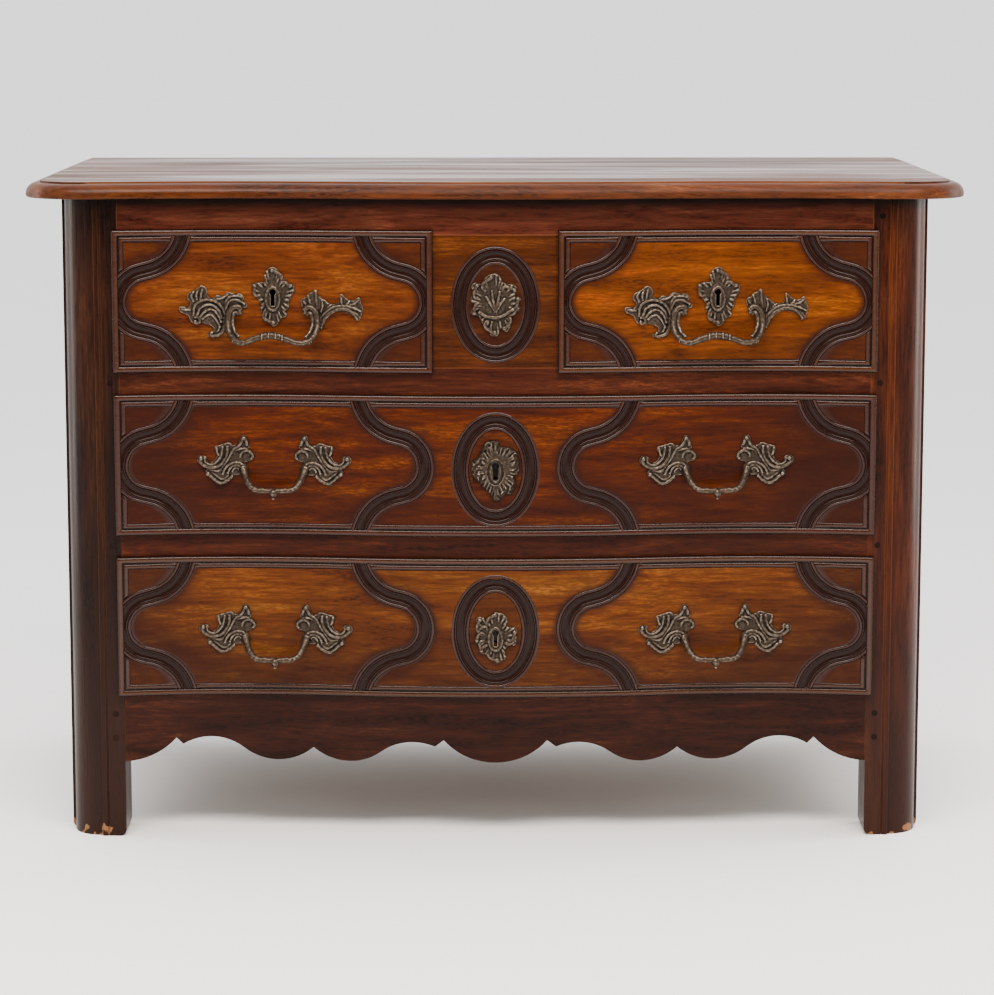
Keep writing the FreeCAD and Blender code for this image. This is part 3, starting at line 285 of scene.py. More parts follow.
# %% [markdown]
# The drawer fronts were cut from different boards: gold and amber above, red in the middle and brown
# below. Rails, apron and stiles are darker, the right stile redder than the left; the top rail is lighter
# than the other rails, as painted light against the shadow of the top. The sides, which saw
# less sun, and the ends of the pegs are the darkest.
# %% Walnut finishes
FRONT_GOLD = walnut("walnut_front_shellac_gold", "X", ("#582608", "#964a12", "#ba6a22"), "carved")
FRONT_AMBER = walnut("walnut_front_shellac_amber", "X", ("#663004", "#b45c08", "#d67e16"), "carved")
FRONT_RED = walnut("walnut_front_shellac_red", "X", ("#3c1304", "#803606", "#b05a10"), "carved")
FRONT_BROWN = walnut("walnut_front_shellac_brown", "X", ("#582808", "#a0581a", "#c47e2e"), "carved")
PANEL_WOOD = walnut("walnut_panel_shellac_dark", "X", ("#361606", "#62300c", "#864818"), "carved")
RAIL_WOOD = walnut("walnut_rail_waxed", "X", ("#321209", "#582814", "#783e20"))
# Painted light: a lighter copy of the rail walnut, which offsets the shadow under the top's overhang
LIT_TOP_RAIL_WOOD = walnut("walnut_top_rail_waxed", "X", ("#4c1f12", "#7a3e29", "#9c5c3c"), "under_top")
APRON_WOOD = walnut("walnut_apron_waxed", "X", ("#26100a", "#462013", "#623420"))
STILE_POLISH = {"gloss": 0.3, "polish": 0.1}
STILE_WOOD = walnut(
    "walnut_stile_waxed", "Z", ("#1e0c06", "#3a1c0e", "#563016"), "feet", "under_top", **STILE_POLISH
)
RED_STILE_WOOD = walnut(
    "walnut_stile_waxed_red", "Z", ("#301208", "#5a2810", "#7c401c"), "feet", "under_top", **STILE_POLISH
)
TOP_WOOD = walnut(
    "walnut_top_polished", "X", ("#44200c", "#703818", "#985a2c"), "streaky", gloss=0.38, polish=0.1
)
SIDE_PANEL_WOOD = walnut("walnut_side_panel_waxed", "Z", ("#261008", "#40200f", "#5c3218"))
SIDE_RAIL_WOOD = walnut("walnut_side_rail_waxed", "Y", ("#240e07", "#3e1c0e", "#583018"), "under_top")
PEG_WOOD = walnut("walnut_peg_end_grain", "Y", ("#140804", "#261108", "#38200f"))
print("walnut finishes made")

# %% [markdown]
# ## Plain wood inside
#
# Cabinet makers kept walnut for what shows. Drawer sides, bottoms, runners and the back are a plain
# pale wood that was planed and never polished, so it is matt, dusty brown and a little darker where
# it rubs. It is the same idea as the walnut with other colours and no shine.
# %% Plain wood
# Dirt lies in clouds of about 170 mm
DIRT = (6.0, 6.0, 6.0)


def plain_wood(name, grain):
    """Planed, unpolished wood with its grain along X, Y or Z."""
    material, tree, shader = new_material(name)
    place = add(tree, "TexCoord").outputs["Object"]
    turned = add(tree, "Mapping", None, {"Vector": place, "Rotation": GRAIN_TURN[grain]}).outputs[0]
    streaks = stretched_noise(tree, turned, STREAK, 5.0, 0.8)
    pores = stretched_noise(tree, turned, PORES, 2.0)
    lines = stretched_noise(tree, turned, LINES, 5.0, 0.5)
    colours = ((0.3, "#6a4c2d"), (0.5, "#86663f"), (0.72, "#9c7b50"))
    wood = add(tree, "ValToRGB", None, {0: streaks}, colours).outputs[0]
    hairs = add(tree, "ValToRGB", None, {0: lines}, ((0.36, "#565656"), (0.64, "#a4a4a4"))).outputs[0]
    wood = add(tree, "Mix", OVERLAY, {0: 0.7, 6: wood, 7: hairs}).outputs[2]
    dirt = stretched_noise(tree, place, DIRT, 4.0, 0.5)
    dirt_share = add(tree, "MapRange", None, {0: dirt, 1: 0.45, 2: 0.75, 3: 0.0, 4: 0.45}).outputs[0]
    wood = add(tree, "Mix", MIX, {0: dirt_share, 6: wood, 7: linear("#4a3420")}).outputs[2]
    worn = add(tree, "Attribute", {"attribute_name": "worn"}).outputs["Fac"]
    wood = add(tree, "Mix", MIX, {0: worn, 6: wood, 7: linear("#6b4e2f")}).outputs[2]
    tree.links.new(wood, shader.inputs["Base Color"])
    bump = add(tree, "Bump", None, {"Strength": 0.25, "Distance": 0.5 * MM, "Height": pores})
    tree.links.new(bump.outputs[0], shader.inputs["Normal"])
    shader.inputs["Roughness"].default_value = 0.72
    shader.inputs["Specular IOR Level"].default_value = 0.25
    return material


PLAIN = {grain: plain_wood("plain_wood_planed_" + grain.lower(), grain) for grain in "XYZ"}
print("plain wood for", len(PLAIN), "grain directions")

# %% [markdown]
# ## Bronze and iron
#
# The handles were cast in sand, chased with small chisels and gilt or lacquered long ago. Now they are
# a grey olive brown, almost black in the hollows and pale where fingers and dusters rub the high
# places. The pointiness of a dense mesh says which places are high. The locks are filed wrought iron:
# dark, rough, with a brown bloom of rust.
# %% Metals
# Blotches of patina are about 11 mm wide, those of rust 17 mm
PATINA = (90.0, 90.0, 90.0)
RUST = (60.0, 60.0, 60.0)


def bronze_finish():
    """Bronze that is dark in its hollows and rubbed on its high places."""
    material, tree, shader = new_material("bronze_sand_cast_patinated")
    place = add(tree, "TexCoord").outputs["Object"]
    height = add(tree, "NewGeometry").outputs["Pointiness"]
    rubbed = add(tree, "MapRange", None, {0: height, 1: 0.47, 2: 0.56, 3: 0.0, 4: 1.0}).outputs[0]
    blotch = stretched_noise(tree, place, PATINA, 5.0, 0.6)
    colours = ((0.0, "#150f0b"), (0.5, "#4a3d32"), (1.0, "#9a8e7f"))
    metal = add(tree, "ValToRGB", None, {0: rubbed}, colours).outputs[0]
    patina = add(tree, "ValToRGB", None, {0: blotch}, ((0.4, "#6f6f6f"), (0.65, "#9d9a90"))).outputs[0]
    metal = add(tree, "Mix", OVERLAY, {0: 0.5, 6: metal, 7: patina}).outputs[2]
    tree.links.new(metal, shader.inputs["Base Color"])
    sheen = add(tree, "MapRange", None, {0: rubbed, 1: 0.0, 2: 1.0, 3: 0.55, 4: 0.28}).outputs[0]
    tree.links.new(sheen, shader.inputs["Roughness"])
    shader.inputs["Metallic"].default_value = 0.8
    return material


def iron_finish():
    """Filed iron with blotches of rust."""
    material, tree, shader = new_material("iron_filed_rusted")
    place = add(tree, "TexCoord").outputs["Object"]
    rust = stretched_noise(tree, place, RUST, 6.0, 0.8)
    colours = ((0.42, "#34302d"), (0.58, "#4a3a30"), (0.72, "#6a432a"))
    metal = add(tree, "ValToRGB", None, {0: rust}, colours).outputs[0]
    tree.links.new(metal, shader.inputs["Base Color"])
    rough = add(tree, "MapRange", None, {0: rust, 1: 0.4, 2: 0.7, 3: 0.42, 4: 0.8}).outputs[0]
    tree.links.new(rough, shader.inputs["Roughness"])
    shader.inputs["Metallic"].default_value = 0.85
    return material


BRONZE = bronze_finish()
IRON = iron_finish()
print("metals made")

# %% [markdown]
# ## Softened boards
#
# A board straight from CAD has knife-sharp edges, and light never does that. This cell copies a CAD
# piece, joins its loose triangles, clears flat faces of inner lines, and rounds every long edge by
# about a millimetre. The rounded strips are marked as worn, because that is where polish rubs off.
# %% Round the edges
SHARP = math.radians(28)
FLAT = math.radians(0.3)
CREASE = math.radians(40)
WELD = 0.002 * MM
SHORTEST_EDGE = 9 * MM
# The slots for the lock bolts have ends of 7.6 mm, which are rounded with the rest of their edge
SLOT_EDGE = 7 * MM
SLOTTED = ("front_top_rail", "upper_drawer_rail", "lower_drawer_rail")


def finish_piece(name, bm, material, body, slot, *nodes):
    """Turns a bmesh into a piece that rides on a body and may stand for CAD nodes."""
    mesh = bpy.data.meshes.new(name)
    bm.to_mesh(mesh)
    bm.free()
    mesh.materials.append(material)
    piece = bpy.data.objects.new(name, mesh)
    bpy.context.scene.collection.objects.link(piece)
    piece.modifiers.new("even_shading", "WEIGHTED_NORMAL").keep_sharp = True
    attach(piece, body)
    if nodes:
        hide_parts(*nodes)
    return piece


def cad_copy(node):
    """Bmesh of a CAD piece with its triangles joined and its flat faces whole."""
    bm = bmesh.new()
    bm.from_mesh(frame["nodes"][node].data)
    bmesh.ops.remove_doubles(bm, verts=bm.verts, dist=WELD)
    bmesh.ops.dissolve_limit(bm, angle_limit=FLAT, verts=bm.verts, edges=bm.edges)
    return bm


def sharp_edges(bm, shortest):
    """Edges that are sharp enough and long enough to be rounded."""
    creased = [edge for edge in bm.edges if len(edge.link_faces) == 2]
    return [edge for edge in creased if edge.calc_face_angle() > SHARP and edge.calc_length() > shortest]


def shade(bm):
    """Smooth shading that keeps creases."""
    for face in bm.faces:
        face.smooth = True
    for edge in bm.edges:
        edge.smooth = len(edge.link_faces) != 2 or edge.calc_face_angle() < CREASE


def rounded(bm, edges, radius, clamp):
    """Rounds edges by a radius in millimetres and gives the new strips."""
    return bmesh.ops.bevel(
        bm, geom=edges, offset=radius * MM, offset_type="OFFSET", segments=2, profile=0.5,
        affect="EDGES", clamp_overlap=clamp, material=-1,
    )["faces"]


def dressed(node, material, slot, radius=0.9, wear=0.25, shortest=SHORTEST_EDGE):
    """CAD piece with its edges rounded and rubbed."""
    bm = cad_copy(node)
    worn = bm.faces.layers.float.new("worn")
    for face in rounded(bm, sharp_edges(bm, shortest), radius, False):
        face[worn] = wear
    shade(bm)
    return finish_piece(node + "_dressed", bm, material, BODY_OF[node], slot, node)


print("edges of more than", round(math.degrees(SHARP)), "degrees are rounded")

# %% [markdown]
# All that shows of the carcass is walnut: top, stiles, rails, sides and the fixed panel. The back, which
# stood against a wall, is of plain wood.
# %% Boards of the carcass
boards = {
    "top_front_board": TOP_WOOD, "top_back_board": TOP_WOOD,
    "front_left_stile": STILE_WOOD, "front_right_stile": RED_STILE_WOOD,
    "rear_left_stile": STILE_WOOD, "rear_right_stile": STILE_WOOD,
    "front_top_rail": LIT_TOP_RAIL_WOOD, "upper_drawer_rail": RAIL_WOOD, "lower_drawer_rail": RAIL_WOOD,
    "front_apron": APRON_WOOD, "centre_panel": PANEL_WOOD,
}
for side in ("left", "right"):
    boards[side + "_side_upper_rail"] = SIDE_RAIL_WOOD
    boards[side + "_side_lower_rail"] = SIDE_RAIL_WOOD
    boards[side + "_side_panel"] = SIDE_PANEL_WOOD
for node, wood in boards.items():
    dressed(node, wood, "walnut", shortest=SLOT_EDGE if node in SLOTTED else SHORTEST_EDGE)
for node in ("back_upper_rail", "back_lower_rail", "back_panel"):
    dressed(node, PLAIN["X"], "secondary_wood", wear=0.6)
print("dressed", len(boards) + 3, "boards of the carcass")

# %% [markdown]
# ## Wood that stays as modelled
#
# Runners, pegs and the drawer boxes keep their CAD shape: their edges were left crisp by the plane,
# and the dovetails at the drawer corners have to meet without a gap. They only get their wood.
# %% Runners, pegs and drawer boxes
DRAWERS = ("upper_left_drawer", "upper_right_drawer", "middle_drawer", "lower_drawer")
inner_wood = {"side_runners": "Y", "centre_runner": "Y"}
for drawer in DRAWERS:
    for board, grain in (("left_side", "Y"), ("right_side", "Y"), ("back", "X"), ("bottom", "X")):
        inner_wood[drawer + "_" + board] = grain
for node, grain in inner_wood.items():
    mesh = frame["nodes"][node].data
    mesh.materials.clear()
    mesh.materials.append(PLAIN[grain])
pegs = frame["nodes"]["frame_pegs"].data
pegs.materials.clear()
pegs.materials.append(PEG_WOOD)
print("plain wood on", len(inner_wood), "pieces")

# %% [markdown]
# ## The serpentine line
#
# Seen from above, the front swings forward in the middle and back on both sides. It is drawn with two
# tangent arcs, and a moulding that stands proud of it runs on an offset of the same arcs. The frame
# gives the places: the opening ends at the stiles, and the front plane is the stiles' face.
# %% Serpentine
stile_low, stile_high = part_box("front_left_stile")
OPENING_X = -stile_high.x / MM
FRONT_Y = stile_low.y / MM
CENTRE_BOW = 12.0
HOLLOW_DEPTH = 12.0
HOLLOW_X = OPENING_X - 152.0
SWING = CENTRE_BOW + HOLLOW_DEPTH
R_HOLLOW = ((OPENING_X - HOLLOW_X) ** 2 + HOLLOW_DEPTH ** 2) / (2 * HOLLOW_DEPTH)
R_CENTRE = (HOLLOW_X ** 2 + SWING ** 2) / (2 * SWING) - R_HOLLOW


def front_y(x, proud):
    """Y of the serpentine face at x, moved forward by proud along its normals, in millimetres."""
    join = HOLLOW_X * (R_CENTRE + proud) / (R_CENTRE + R_HOLLOW)
    if abs(x) <= join:
        return FRONT_Y + R_CENTRE - CENTRE_BOW - math.sqrt((R_CENTRE + proud) ** 2 - x ** 2)
    across = abs(x) - HOLLOW_X
    return FRONT_Y + HOLLOW_DEPTH - R_HOLLOW + math.sqrt((R_HOLLOW - proud) ** 2 - across ** 2)


print("front plane at y", round(FRONT_Y, 1), "mm, arcs of", round(R_CENTRE), "and", round(R_HOLLOW), "mm")

# %% [markdown]
# ## Profiles of the carving
#
# All the carving is made of three forms: a bead (half round), a quirk (narrow groove) and a cove (half
# hollow). The lip of a drawer is rounded, then a quirk, then a small bead. An accolade, the brace-shaped
# band, is a cove between two ridges and two beads. Heights are measured from the lip's highest line.
# %% Carved profiles
LIP_PROUD = 9.0
LIP_BACK = 0.4
LIP_ROUND = 4.0
FIELD = -0.8
QUIRK = -2.3
RIDGE_END = 8.6
BEAD_START = 9.8
BEAD_HALF = 3.2
BEAD_RISE = 2.1
BORDER_END = 16.8
BAND_HALF = 12.4
COVE_HALF = 5.2
COVE_TOP = -1.8
COVE_DEPTH = 2.0
FILLET_HALF = 1.0
FILLET_RISE = 0.8
BAND_BEAD = 10.0
BAND_BEAD_HALF = 2.2
BAND_BEAD_RISE = 2.2


def half_round(across, centre, half_width):
    """Height of a half round over its chord, from 0 at its sides to 1."""
    return math.sqrt(max(0.0, 1 - ((across - centre) / half_width) ** 2))


def border_height(inset):
    """Height of the drawer's border at a distance from the lip's edge."""
    if inset < LIP_ROUND:
        return LIP_ROUND * (half_round(inset, LIP_ROUND, LIP_ROUND) - 1)
    if inset < RIDGE_END:
        return QUIRK * (1 - half_round(inset, LIP_ROUND, RIDGE_END - LIP_ROUND))
    if BEAD_START < inset < BEAD_START + 2 * BEAD_HALF:
        return QUIRK + BEAD_RISE * half_round(inset, BEAD_START + BEAD_HALF, BEAD_HALF)
    return QUIRK if inset <= BEAD_START else FIELD


def band_height(offset):
    """Height of an accolade or oval band at an offset from its middle line."""
    side = abs(offset)
    if side < COVE_HALF:
        return COVE_TOP - COVE_DEPTH * half_round(side, 0, COVE_HALF)
    if side < COVE_HALF + 2 * FILLET_HALF:
        return COVE_TOP + FILLET_RISE * half_round(side, COVE_HALF + FILLET_HALF, FILLET_HALF)
    if side < BAND_HALF:
        return QUIRK + BAND_BEAD_RISE * half_round(side, BAND_BEAD, BAND_BEAD_HALF)
    return FIELD


# Where the grid has its lines: close where a profile turns steep, wide apart on the crowns
BORDER_STOPS = (
    0, 0.3, 1.0, 2.2, 4.0, 6.0, 7.4, 8.2, 8.6, 9.7, 9.9, 10.4, 11.3, 13.0, 14.7, 15.6, 16.1, 16.3,
)
BAND_STOPS = (
    0, 1.3, 2.6, 3.8, 4.6, 5.0, 5.2, 5.6, 6.2, 6.8, 7.2, 7.7, 7.9, 8.6, 10.0, 11.4, 12.0, 12.2, 12.4,
)
print("cove", COVE_DEPTH - COVE_TOP, "mm deep below the lip")

# %% [markdown]
# ## Accolades
#
# Each brace runs from the lower border to the upper one and points sideways at half height. Its line is
# a tip bend, a short straight run and a root bend. Because it never turns back in height, one function
# gives its distance from the tip for any height, and lines beside it are simply offsets.
# %% Accolade line
TIP_RADIUS = 40.0
RUN = 12.0
RUN_LEAN = math.radians(76)
ROOT_LEAN = math.radians(16)
END_INSET = 6.0
MIDDLE_TIP_X = 94.0
HALF_FIELD = 84.5
# Lines are looked for no further than this from the accolade
FARTHEST = 34.0
HALVINGS = 24
TIP_RISE = TIP_RADIUS * math.sin(RUN_LEAN) + RUN * math.cos(RUN_LEAN)
ROOT_RADIUS = (HALF_FIELD - TIP_RISE) / (math.sin(RUN_LEAN) - math.sin(ROOT_LEAN))
ROOT_X = TIP_RADIUS * (1 - math.cos(RUN_LEAN)) + RUN * math.sin(RUN_LEAN) - ROOT_RADIUS * math.cos(RUN_LEAN)
ROOT_Z = TIP_RISE + ROOT_RADIUS * math.sin(RUN_LEAN)


def accolade_reach(rise, offset):
    """Distance from the accolade's tip, at a height above or below it, of a line offset to its roots."""
    rise = abs(rise)
    tip, root = TIP_RADIUS - offset, ROOT_RADIUS + offset
    bend = tip * math.sin(RUN_LEAN)
    if rise <= bend:
        return TIP_RADIUS - math.sqrt(tip ** 2 - rise ** 2)
    run_end = ROOT_Z - root * math.sin(RUN_LEAN)
    if rise < run_end:
        start = TIP_RADIUS - tip * math.cos(RUN_LEAN)
        return start + (rise - bend) * math.tan(RUN_LEAN)
    level = min(rise, ROOT_Z - root * math.sin(ROOT_LEAN))
    return ROOT_X + math.sqrt(root ** 2 - (ROOT_Z - level) ** 2) + (rise - level) * math.tan(ROOT_LEAN)


def offset_at(rise, reach):
    """Offset of the line that passes at a distance from the tip, found by halving."""
    low, high = -FARTHEST, FARTHEST
    for _ in range(HALVINGS):
        middle = (low + high) / 2
        if accolade_reach(rise, middle) < reach:
            low = middle
        else:
            high = middle
    return low


print("accolade roots", round(accolade_reach(HALF_FIELD, 0)), "mm from its tip")

# %% [markdown]
# ## Carved drawer fronts
#
# A carver marks the braces on the flat board and cuts down to them. Here one grid does the same: its
# columns follow the borders and the offsets of each accolade, so every bead and quirk has an edge of
# its own, and each point is then pushed to the height of the profile. Two vertex attributes say how
# much wax sits at a point and how much the polish is rubbed there.
# %% Rows and columns of a carved front
BAND_LINES = [-stop for stop in reversed(BAND_STOPS[1:])] + list(BAND_STOPS)
FIELD_COLUMNS = 44
END_COLUMNS = 3
FIELD_ROWS = 96


def row_stops(z0, z1):
    """Heights of the grid's rows: close in the borders, even in the field."""
    low = [z0 + stop for stop in BORDER_STOPS]
    high = [z1 - stop for stop in reversed(BORDER_STOPS)]
    start, end = z0 + BORDER_END, z1 - BORDER_END
    return low + [start + (end - start) * row / FIELD_ROWS for row in range(FIELD_ROWS + 1)] + high


def band_points(tip_x, way, rise, left, right):
    """(x, offset) of a band's lines at one height, cut off at the lip's inner edge."""
    points = []
    for offset in BAND_LINES if way > 0 else reversed(BAND_LINES):
        x = tip_x + way * accolade_reach(rise, offset)
        if not left <= x <= right:
            x = min(max(x, left), right)
            offset = offset_at(rise, way * (x - tip_x))
        points.append((x, offset))
    return points


def border_points(edge, way, room):
    """(x, inset, share) of a side border's lines; a band that comes near squeezes the inner bead."""
    share = min(1.0, max(0.0, room / (BORDER_END - RIDGE_END)))
    points = []
    for stop in BORDER_STOPS:
        inset = stop if stop <= RIDGE_END else RIDGE_END + (stop - RIDGE_END) * share
        points.append((edge + way * inset, stop, share))
    return points if way > 0 else points[::-1]


def field_points(start, end, steps, count):
    """Columns on the field, at some of the steps that part the way between two places."""
    return [(start + (end - start) * step / count, BORDER_END, 1.0, None) for step in steps]


def row_points(z, x0, x1, middle_z, bands):
    """Columns of one row, from left to right: (x, inset from the side, squeeze, band offset or None)."""
    left, right = x0 + RIDGE_END, x1 - RIDGE_END
    rows = [band_points(tip_x, way, z - middle_z, left, right) for tip_x, way in bands]
    points = [(*point, None) for point in border_points(x0, 1, rows[0][0][0] - left)]
    start = max(left, min(x0 + BORDER_END, rows[0][0][0]))
    for number, row in enumerate(rows):
        if number:
            points += field_points(start, row[0][0], range(1, FIELD_COLUMNS), FIELD_COLUMNS)
        elif row[0][0] > start:
            points += field_points(start, row[0][0], range(END_COLUMNS), END_COLUMNS)
        else:
            points += [(start, BORDER_END, 0.0, row[0][1])] * END_COLUMNS
        points += [(x, BORDER_END, 1.0, offset) for x, offset in row]
        start = row[-1][0]
    end = min(right, max(x1 - BORDER_END, start))
    if end > start:
        points += field_points(start, end, range(1, END_COLUMNS + 1), END_COLUMNS)
    else:
        points += [(end, BORDER_END, 0.0, rows[-1][-1][1])] * END_COLUMNS
    return points + [(*point, None) for point in border_points(x1, -1, right - rows[-1][-1][0])]


def carved_height(inset, squeeze, offset):
    """Height of the carving from the distances to the border and to the middle of a band."""
    if inset < RIDGE_END:
        return border_height(inset)
    if offset is not None:
        return band_height(offset)
    if inset < BORDER_END:
        return QUIRK + (border_height(inset) - QUIRK) * squeeze
    return FIELD


print("each accolade has", len(BAND_LINES), "lines across")

# %% [markdown]
# Wax gathers where no cloth reaches, and the same attribute carries painted shade. On a moulding it
# depends on the form and its depth, and the deepest places are black as painted shade. On the field it
# fades with the distance from a moulding, as wax and painted shadow, the spandrels outside the braces are
# darker, and the ends and the feet of some fronts get painted shade.
# %% Wax on a carved front
# Shares of wax and painted shade, on the scale of the finish; fading and the start of the shaded ends are in
# millimetres
# Coves and deep quirks are darkened by wax and by painted shade of the recess
COVE_WAX_AND_SHADE = 0.86
WAX_AND_SHADE_PER_MM = 0.3
BAND_WAX_AND_SHADE = 0.36
BORDER_WAX_AND_SHADE = 0.20
SPANDREL_DARKENING = 0.22
DARKEST_FIELD = 0.52
FADE_LENGTH = 5.0
END_START = 330.0
# Share of the half height above which the foot gets no painted shade
FOOT_START = 0.2


def waxed(inset, offset, height):
    """Wax and painted shade on a moulding: much in coves, less on beads, and darker the deeper a quirk lies,
    as painted shade.
    """
    if inset >= RIDGE_END and offset is not None and abs(offset) < COVE_HALF:
        return COVE_WAX_AND_SHADE
    return min(1.0, max(BEAD_WAX, BEAD_WAX + WAX_AND_SHADE_PER_MM * (FIELD - height)))


def field_wax_and_shade(inset, x, rise, bands, painted_shade):
    """Wax and painted shade on the field: wax and painted shadow along the mouldings, darker spandrels, and
    painted shade at the ends and towards the foot.
    """
    offsets = [offset_at(rise, way * (x - tip_x)) for tip_x, way in bands]
    clear = min(abs(offset) for offset in offsets) - BAND_HALF
    wax = BAND_WAX_AND_SHADE * math.exp(-max(0.0, clear) / FADE_LENGTH)
    wax += BORDER_WAX_AND_SHADE * math.exp(-(inset - BORDER_END) / FADE_LENGTH)
    if min(offsets[0], offsets[-1]) < 0:
        wax += SPANDREL_DARKENING + painted_shade[0]
    end_share = max(0.0, abs(x) - END_START) / (OPENING_X - END_START)
    wax += painted_shade[0] * end_share + painted_shade[1] * max(0.0, FOOT_START - rise / HALF_FIELD)
    return min(wax, DARKEST_FIELD)


print("wax from", BORDER_WAX_AND_SHADE, "at a border to", COVE_WAX_AND_SHADE, "in a cove")

# %% [markdown]
# The front is one closed shell. Behind the lip it steps in to the core that fills the opening, and it
# ends on a flat plane.
# %% Shape of a drawer front
CORE_Y = FRONT_Y + 14.0
# How far the core lies inside the edge of the lip
SIDE_GAP = 9.0
FOOT_GAP = 8.0
TOP_GAP = 11.0
# Half width and half height of an oval, which sits in a slightly smaller well
OVAL = (60.0, 78.0)
OVAL_DROP = 4.0
WELL_DEPTH = 9.0
WELL_SHARE = 0.93
TOUCHING = 0.02
# No carver's surface is quite even: it swells by a fifth of a millimetre over some 60 mm
SWELL = 0.22
SWELL_LENGTH = 60
# Hands and dusters rub the lip more than the beads, and only where they stand high
LIP_WORN = 0.04
BEAD_WORN = 0.012
HIGH_PLACE = -0.35
STEP_WAX = 0.5
# Half width, half height and depth of the hollow behind a keyhole, below the middle of its plate; its black
# is painted shade
PIT = (6.5, 14.5)
PIT_DEPTH = 12.0
PIT_DROP = 1.5


def rim(bm):
    """Open edges of a shell."""
    return [edge for edge in bm.edges if edge.is_boundary]


def finish_carving(bm):
    """Turns normals outward and brings a carving from millimetres to metres."""
    bmesh.ops.recalc_face_normals(bm, faces=bm.faces)
    bmesh.ops.scale(bm, verts=bm.verts, vec=(MM, MM, MM))
    shade(bm)


def carved_front(drawer, material, oval, pit, painted_shade):
    """Carved face, lip and front of the core of one drawer, with a well for its oval or keyhole."""
    low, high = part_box(drawer + "_front")
    x0, x1, z0, z1 = low.x / MM, high.x / MM, low.z / MM, high.z / MM
    middle_z = (z0 + z1) / 2
    bands = [(x0 + END_INSET, 1), (x1 - END_INSET, -1)]
    if oval:
        bands[1:1] = [(-MIDDLE_TIP_X, -1), (MIDDLE_TIP_X, 1)]
    rows = [(z, row_points(z, x0, x1, middle_z, bands)) for z in row_stops(z0, z1)]
    columns = len(rows[0][1])
    bm = bmesh.new()
    bmesh.ops.create_grid(bm, x_segments=columns - 1, y_segments=len(rows) - 1, size=0.5)
    wax = bm.verts.layers.float.new("wax")
    worn = bm.verts.layers.float.new("worn")
    for vert in bm.verts:
        z, points = rows[round((vert.co.y + 0.5) * (len(rows) - 1))]
        x, aside, squeeze, offset = points[round((vert.co.x + 0.5) * (columns - 1))]
        level = min(z - z0, z1 - z)
        inset = min(aside, level)
        if level < aside:
            squeeze = 1.0
        height = carved_height(inset, squeeze, offset)
        carved = offset is not None or inset < BORDER_END
        # The wax layer gets wax and painted shade, on the mouldings and on the field
        if carved:
            vert[wax] = waxed(inset, offset, height)
        else:
            vert[wax] = field_wax_and_shade(inset, x, z - middle_z, bands, painted_shade)
        rubbed = LIP_WORN if inset < BORDER_END else BEAD_WORN
        vert[worn] = rubbed if carved and height > HIGH_PLACE else 0.0
        height += SWELL * noise.noise(Vector((x, 0, z)) / SWELL_LENGTH)
        if oval and math.hypot(x / OVAL[0], (z - middle_z + OVAL_DROP) / OVAL[1]) < WELL_SHARE:
            height = -WELL_DEPTH
        if pit and math.hypot((x - pit[0]) / PIT[0], (z - pit[1]) / PIT[1]) < 1:
            height = -PIT_DEPTH
            # Black as painted shade in the hollow behind the keyhole
            vert[wax] = 1.0
        vert.co = Vector((x, front_y(x, LIP_PROUD + height), z))

    def step_back(place):
        made = bmesh.ops.extrude_edge_only(bm, edges=rim(bm))["geom"]
        for vert in [item for item in made if isinstance(item, bmesh.types.BMVert)]:
            vert.co = place(vert.co)
            vert[wax] = STEP_WAX

    def core_place(point):
        x = (point.x - x0) / (x1 - x0) * (x1 - x0 - 2 * SIDE_GAP) + x0 + SIDE_GAP
        z = (point.z - z0) / (z1 - z0) * (z1 - z0 - FOOT_GAP - TOP_GAP) + z0 + FOOT_GAP
        return Vector((x, front_y(x, LIP_BACK), z))

    step_back(lambda point: Vector((point.x, front_y(point.x, LIP_BACK), point.z)))
    step_back(core_place)
    step_back(lambda point: Vector((point.x, CORE_Y, point.z)))
    bmesh.ops.edgeloop_fill(bm, edges=rim(bm))
    bmesh.ops.remove_doubles(bm, verts=bm.verts, dist=TOUCHING)
    finish_carving(bm)
    node = drawer + "_front"
    return finish_piece(drawer + "_carved_front", bm, material, BODY_OF[node], "walnut", node)


print("shell ends", CORE_Y - FRONT_Y, "mm behind the frame's face")

# %% [markdown]
# Behind that plane the CAD piece takes over, cut at the same place, because it has the dovetail sockets
# and the recess for the lock.
# %% Build the drawer fronts
def front_core(drawer, material):
    """What lies behind the carved front: the CAD piece, cut at the plane where the carving ends."""
    node = drawer + "_front"
    bm = cad_copy(node)
    cut = bmesh.ops.bisect_plane(
        bm, geom=bm.verts[:] + bm.edges[:] + bm.faces[:], dist=WELD / 2,
        plane_co=(0, CORE_Y * MM, 0), plane_no=(0, 1, 0), clear_inner=True,
    )
    edges = [item for item in cut["geom_cut"] if isinstance(item, bmesh.types.BMEdge)]
    bmesh.ops.triangle_fill(bm, use_beauty=True, edges=edges)
    bmesh.ops.recalc_face_normals(bm, faces=bm.faces)
    shade(bm)
    return finish_piece(drawer + "_front_core", bm, material, BODY_OF[node], "walnut", node)


def middle_of(node):
    """Middle of a CAD node in front view, in millimetres."""
    low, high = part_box(node)
    return (low.x + high.x) / 2 / MM, (low.z + high.z) / 2 / MM


FRONT_WOOD = dict(zip(DRAWERS, (FRONT_GOLD, FRONT_AMBER, FRONT_RED, FRONT_BROWN)))
LONG = ("middle_drawer", "lower_drawer")
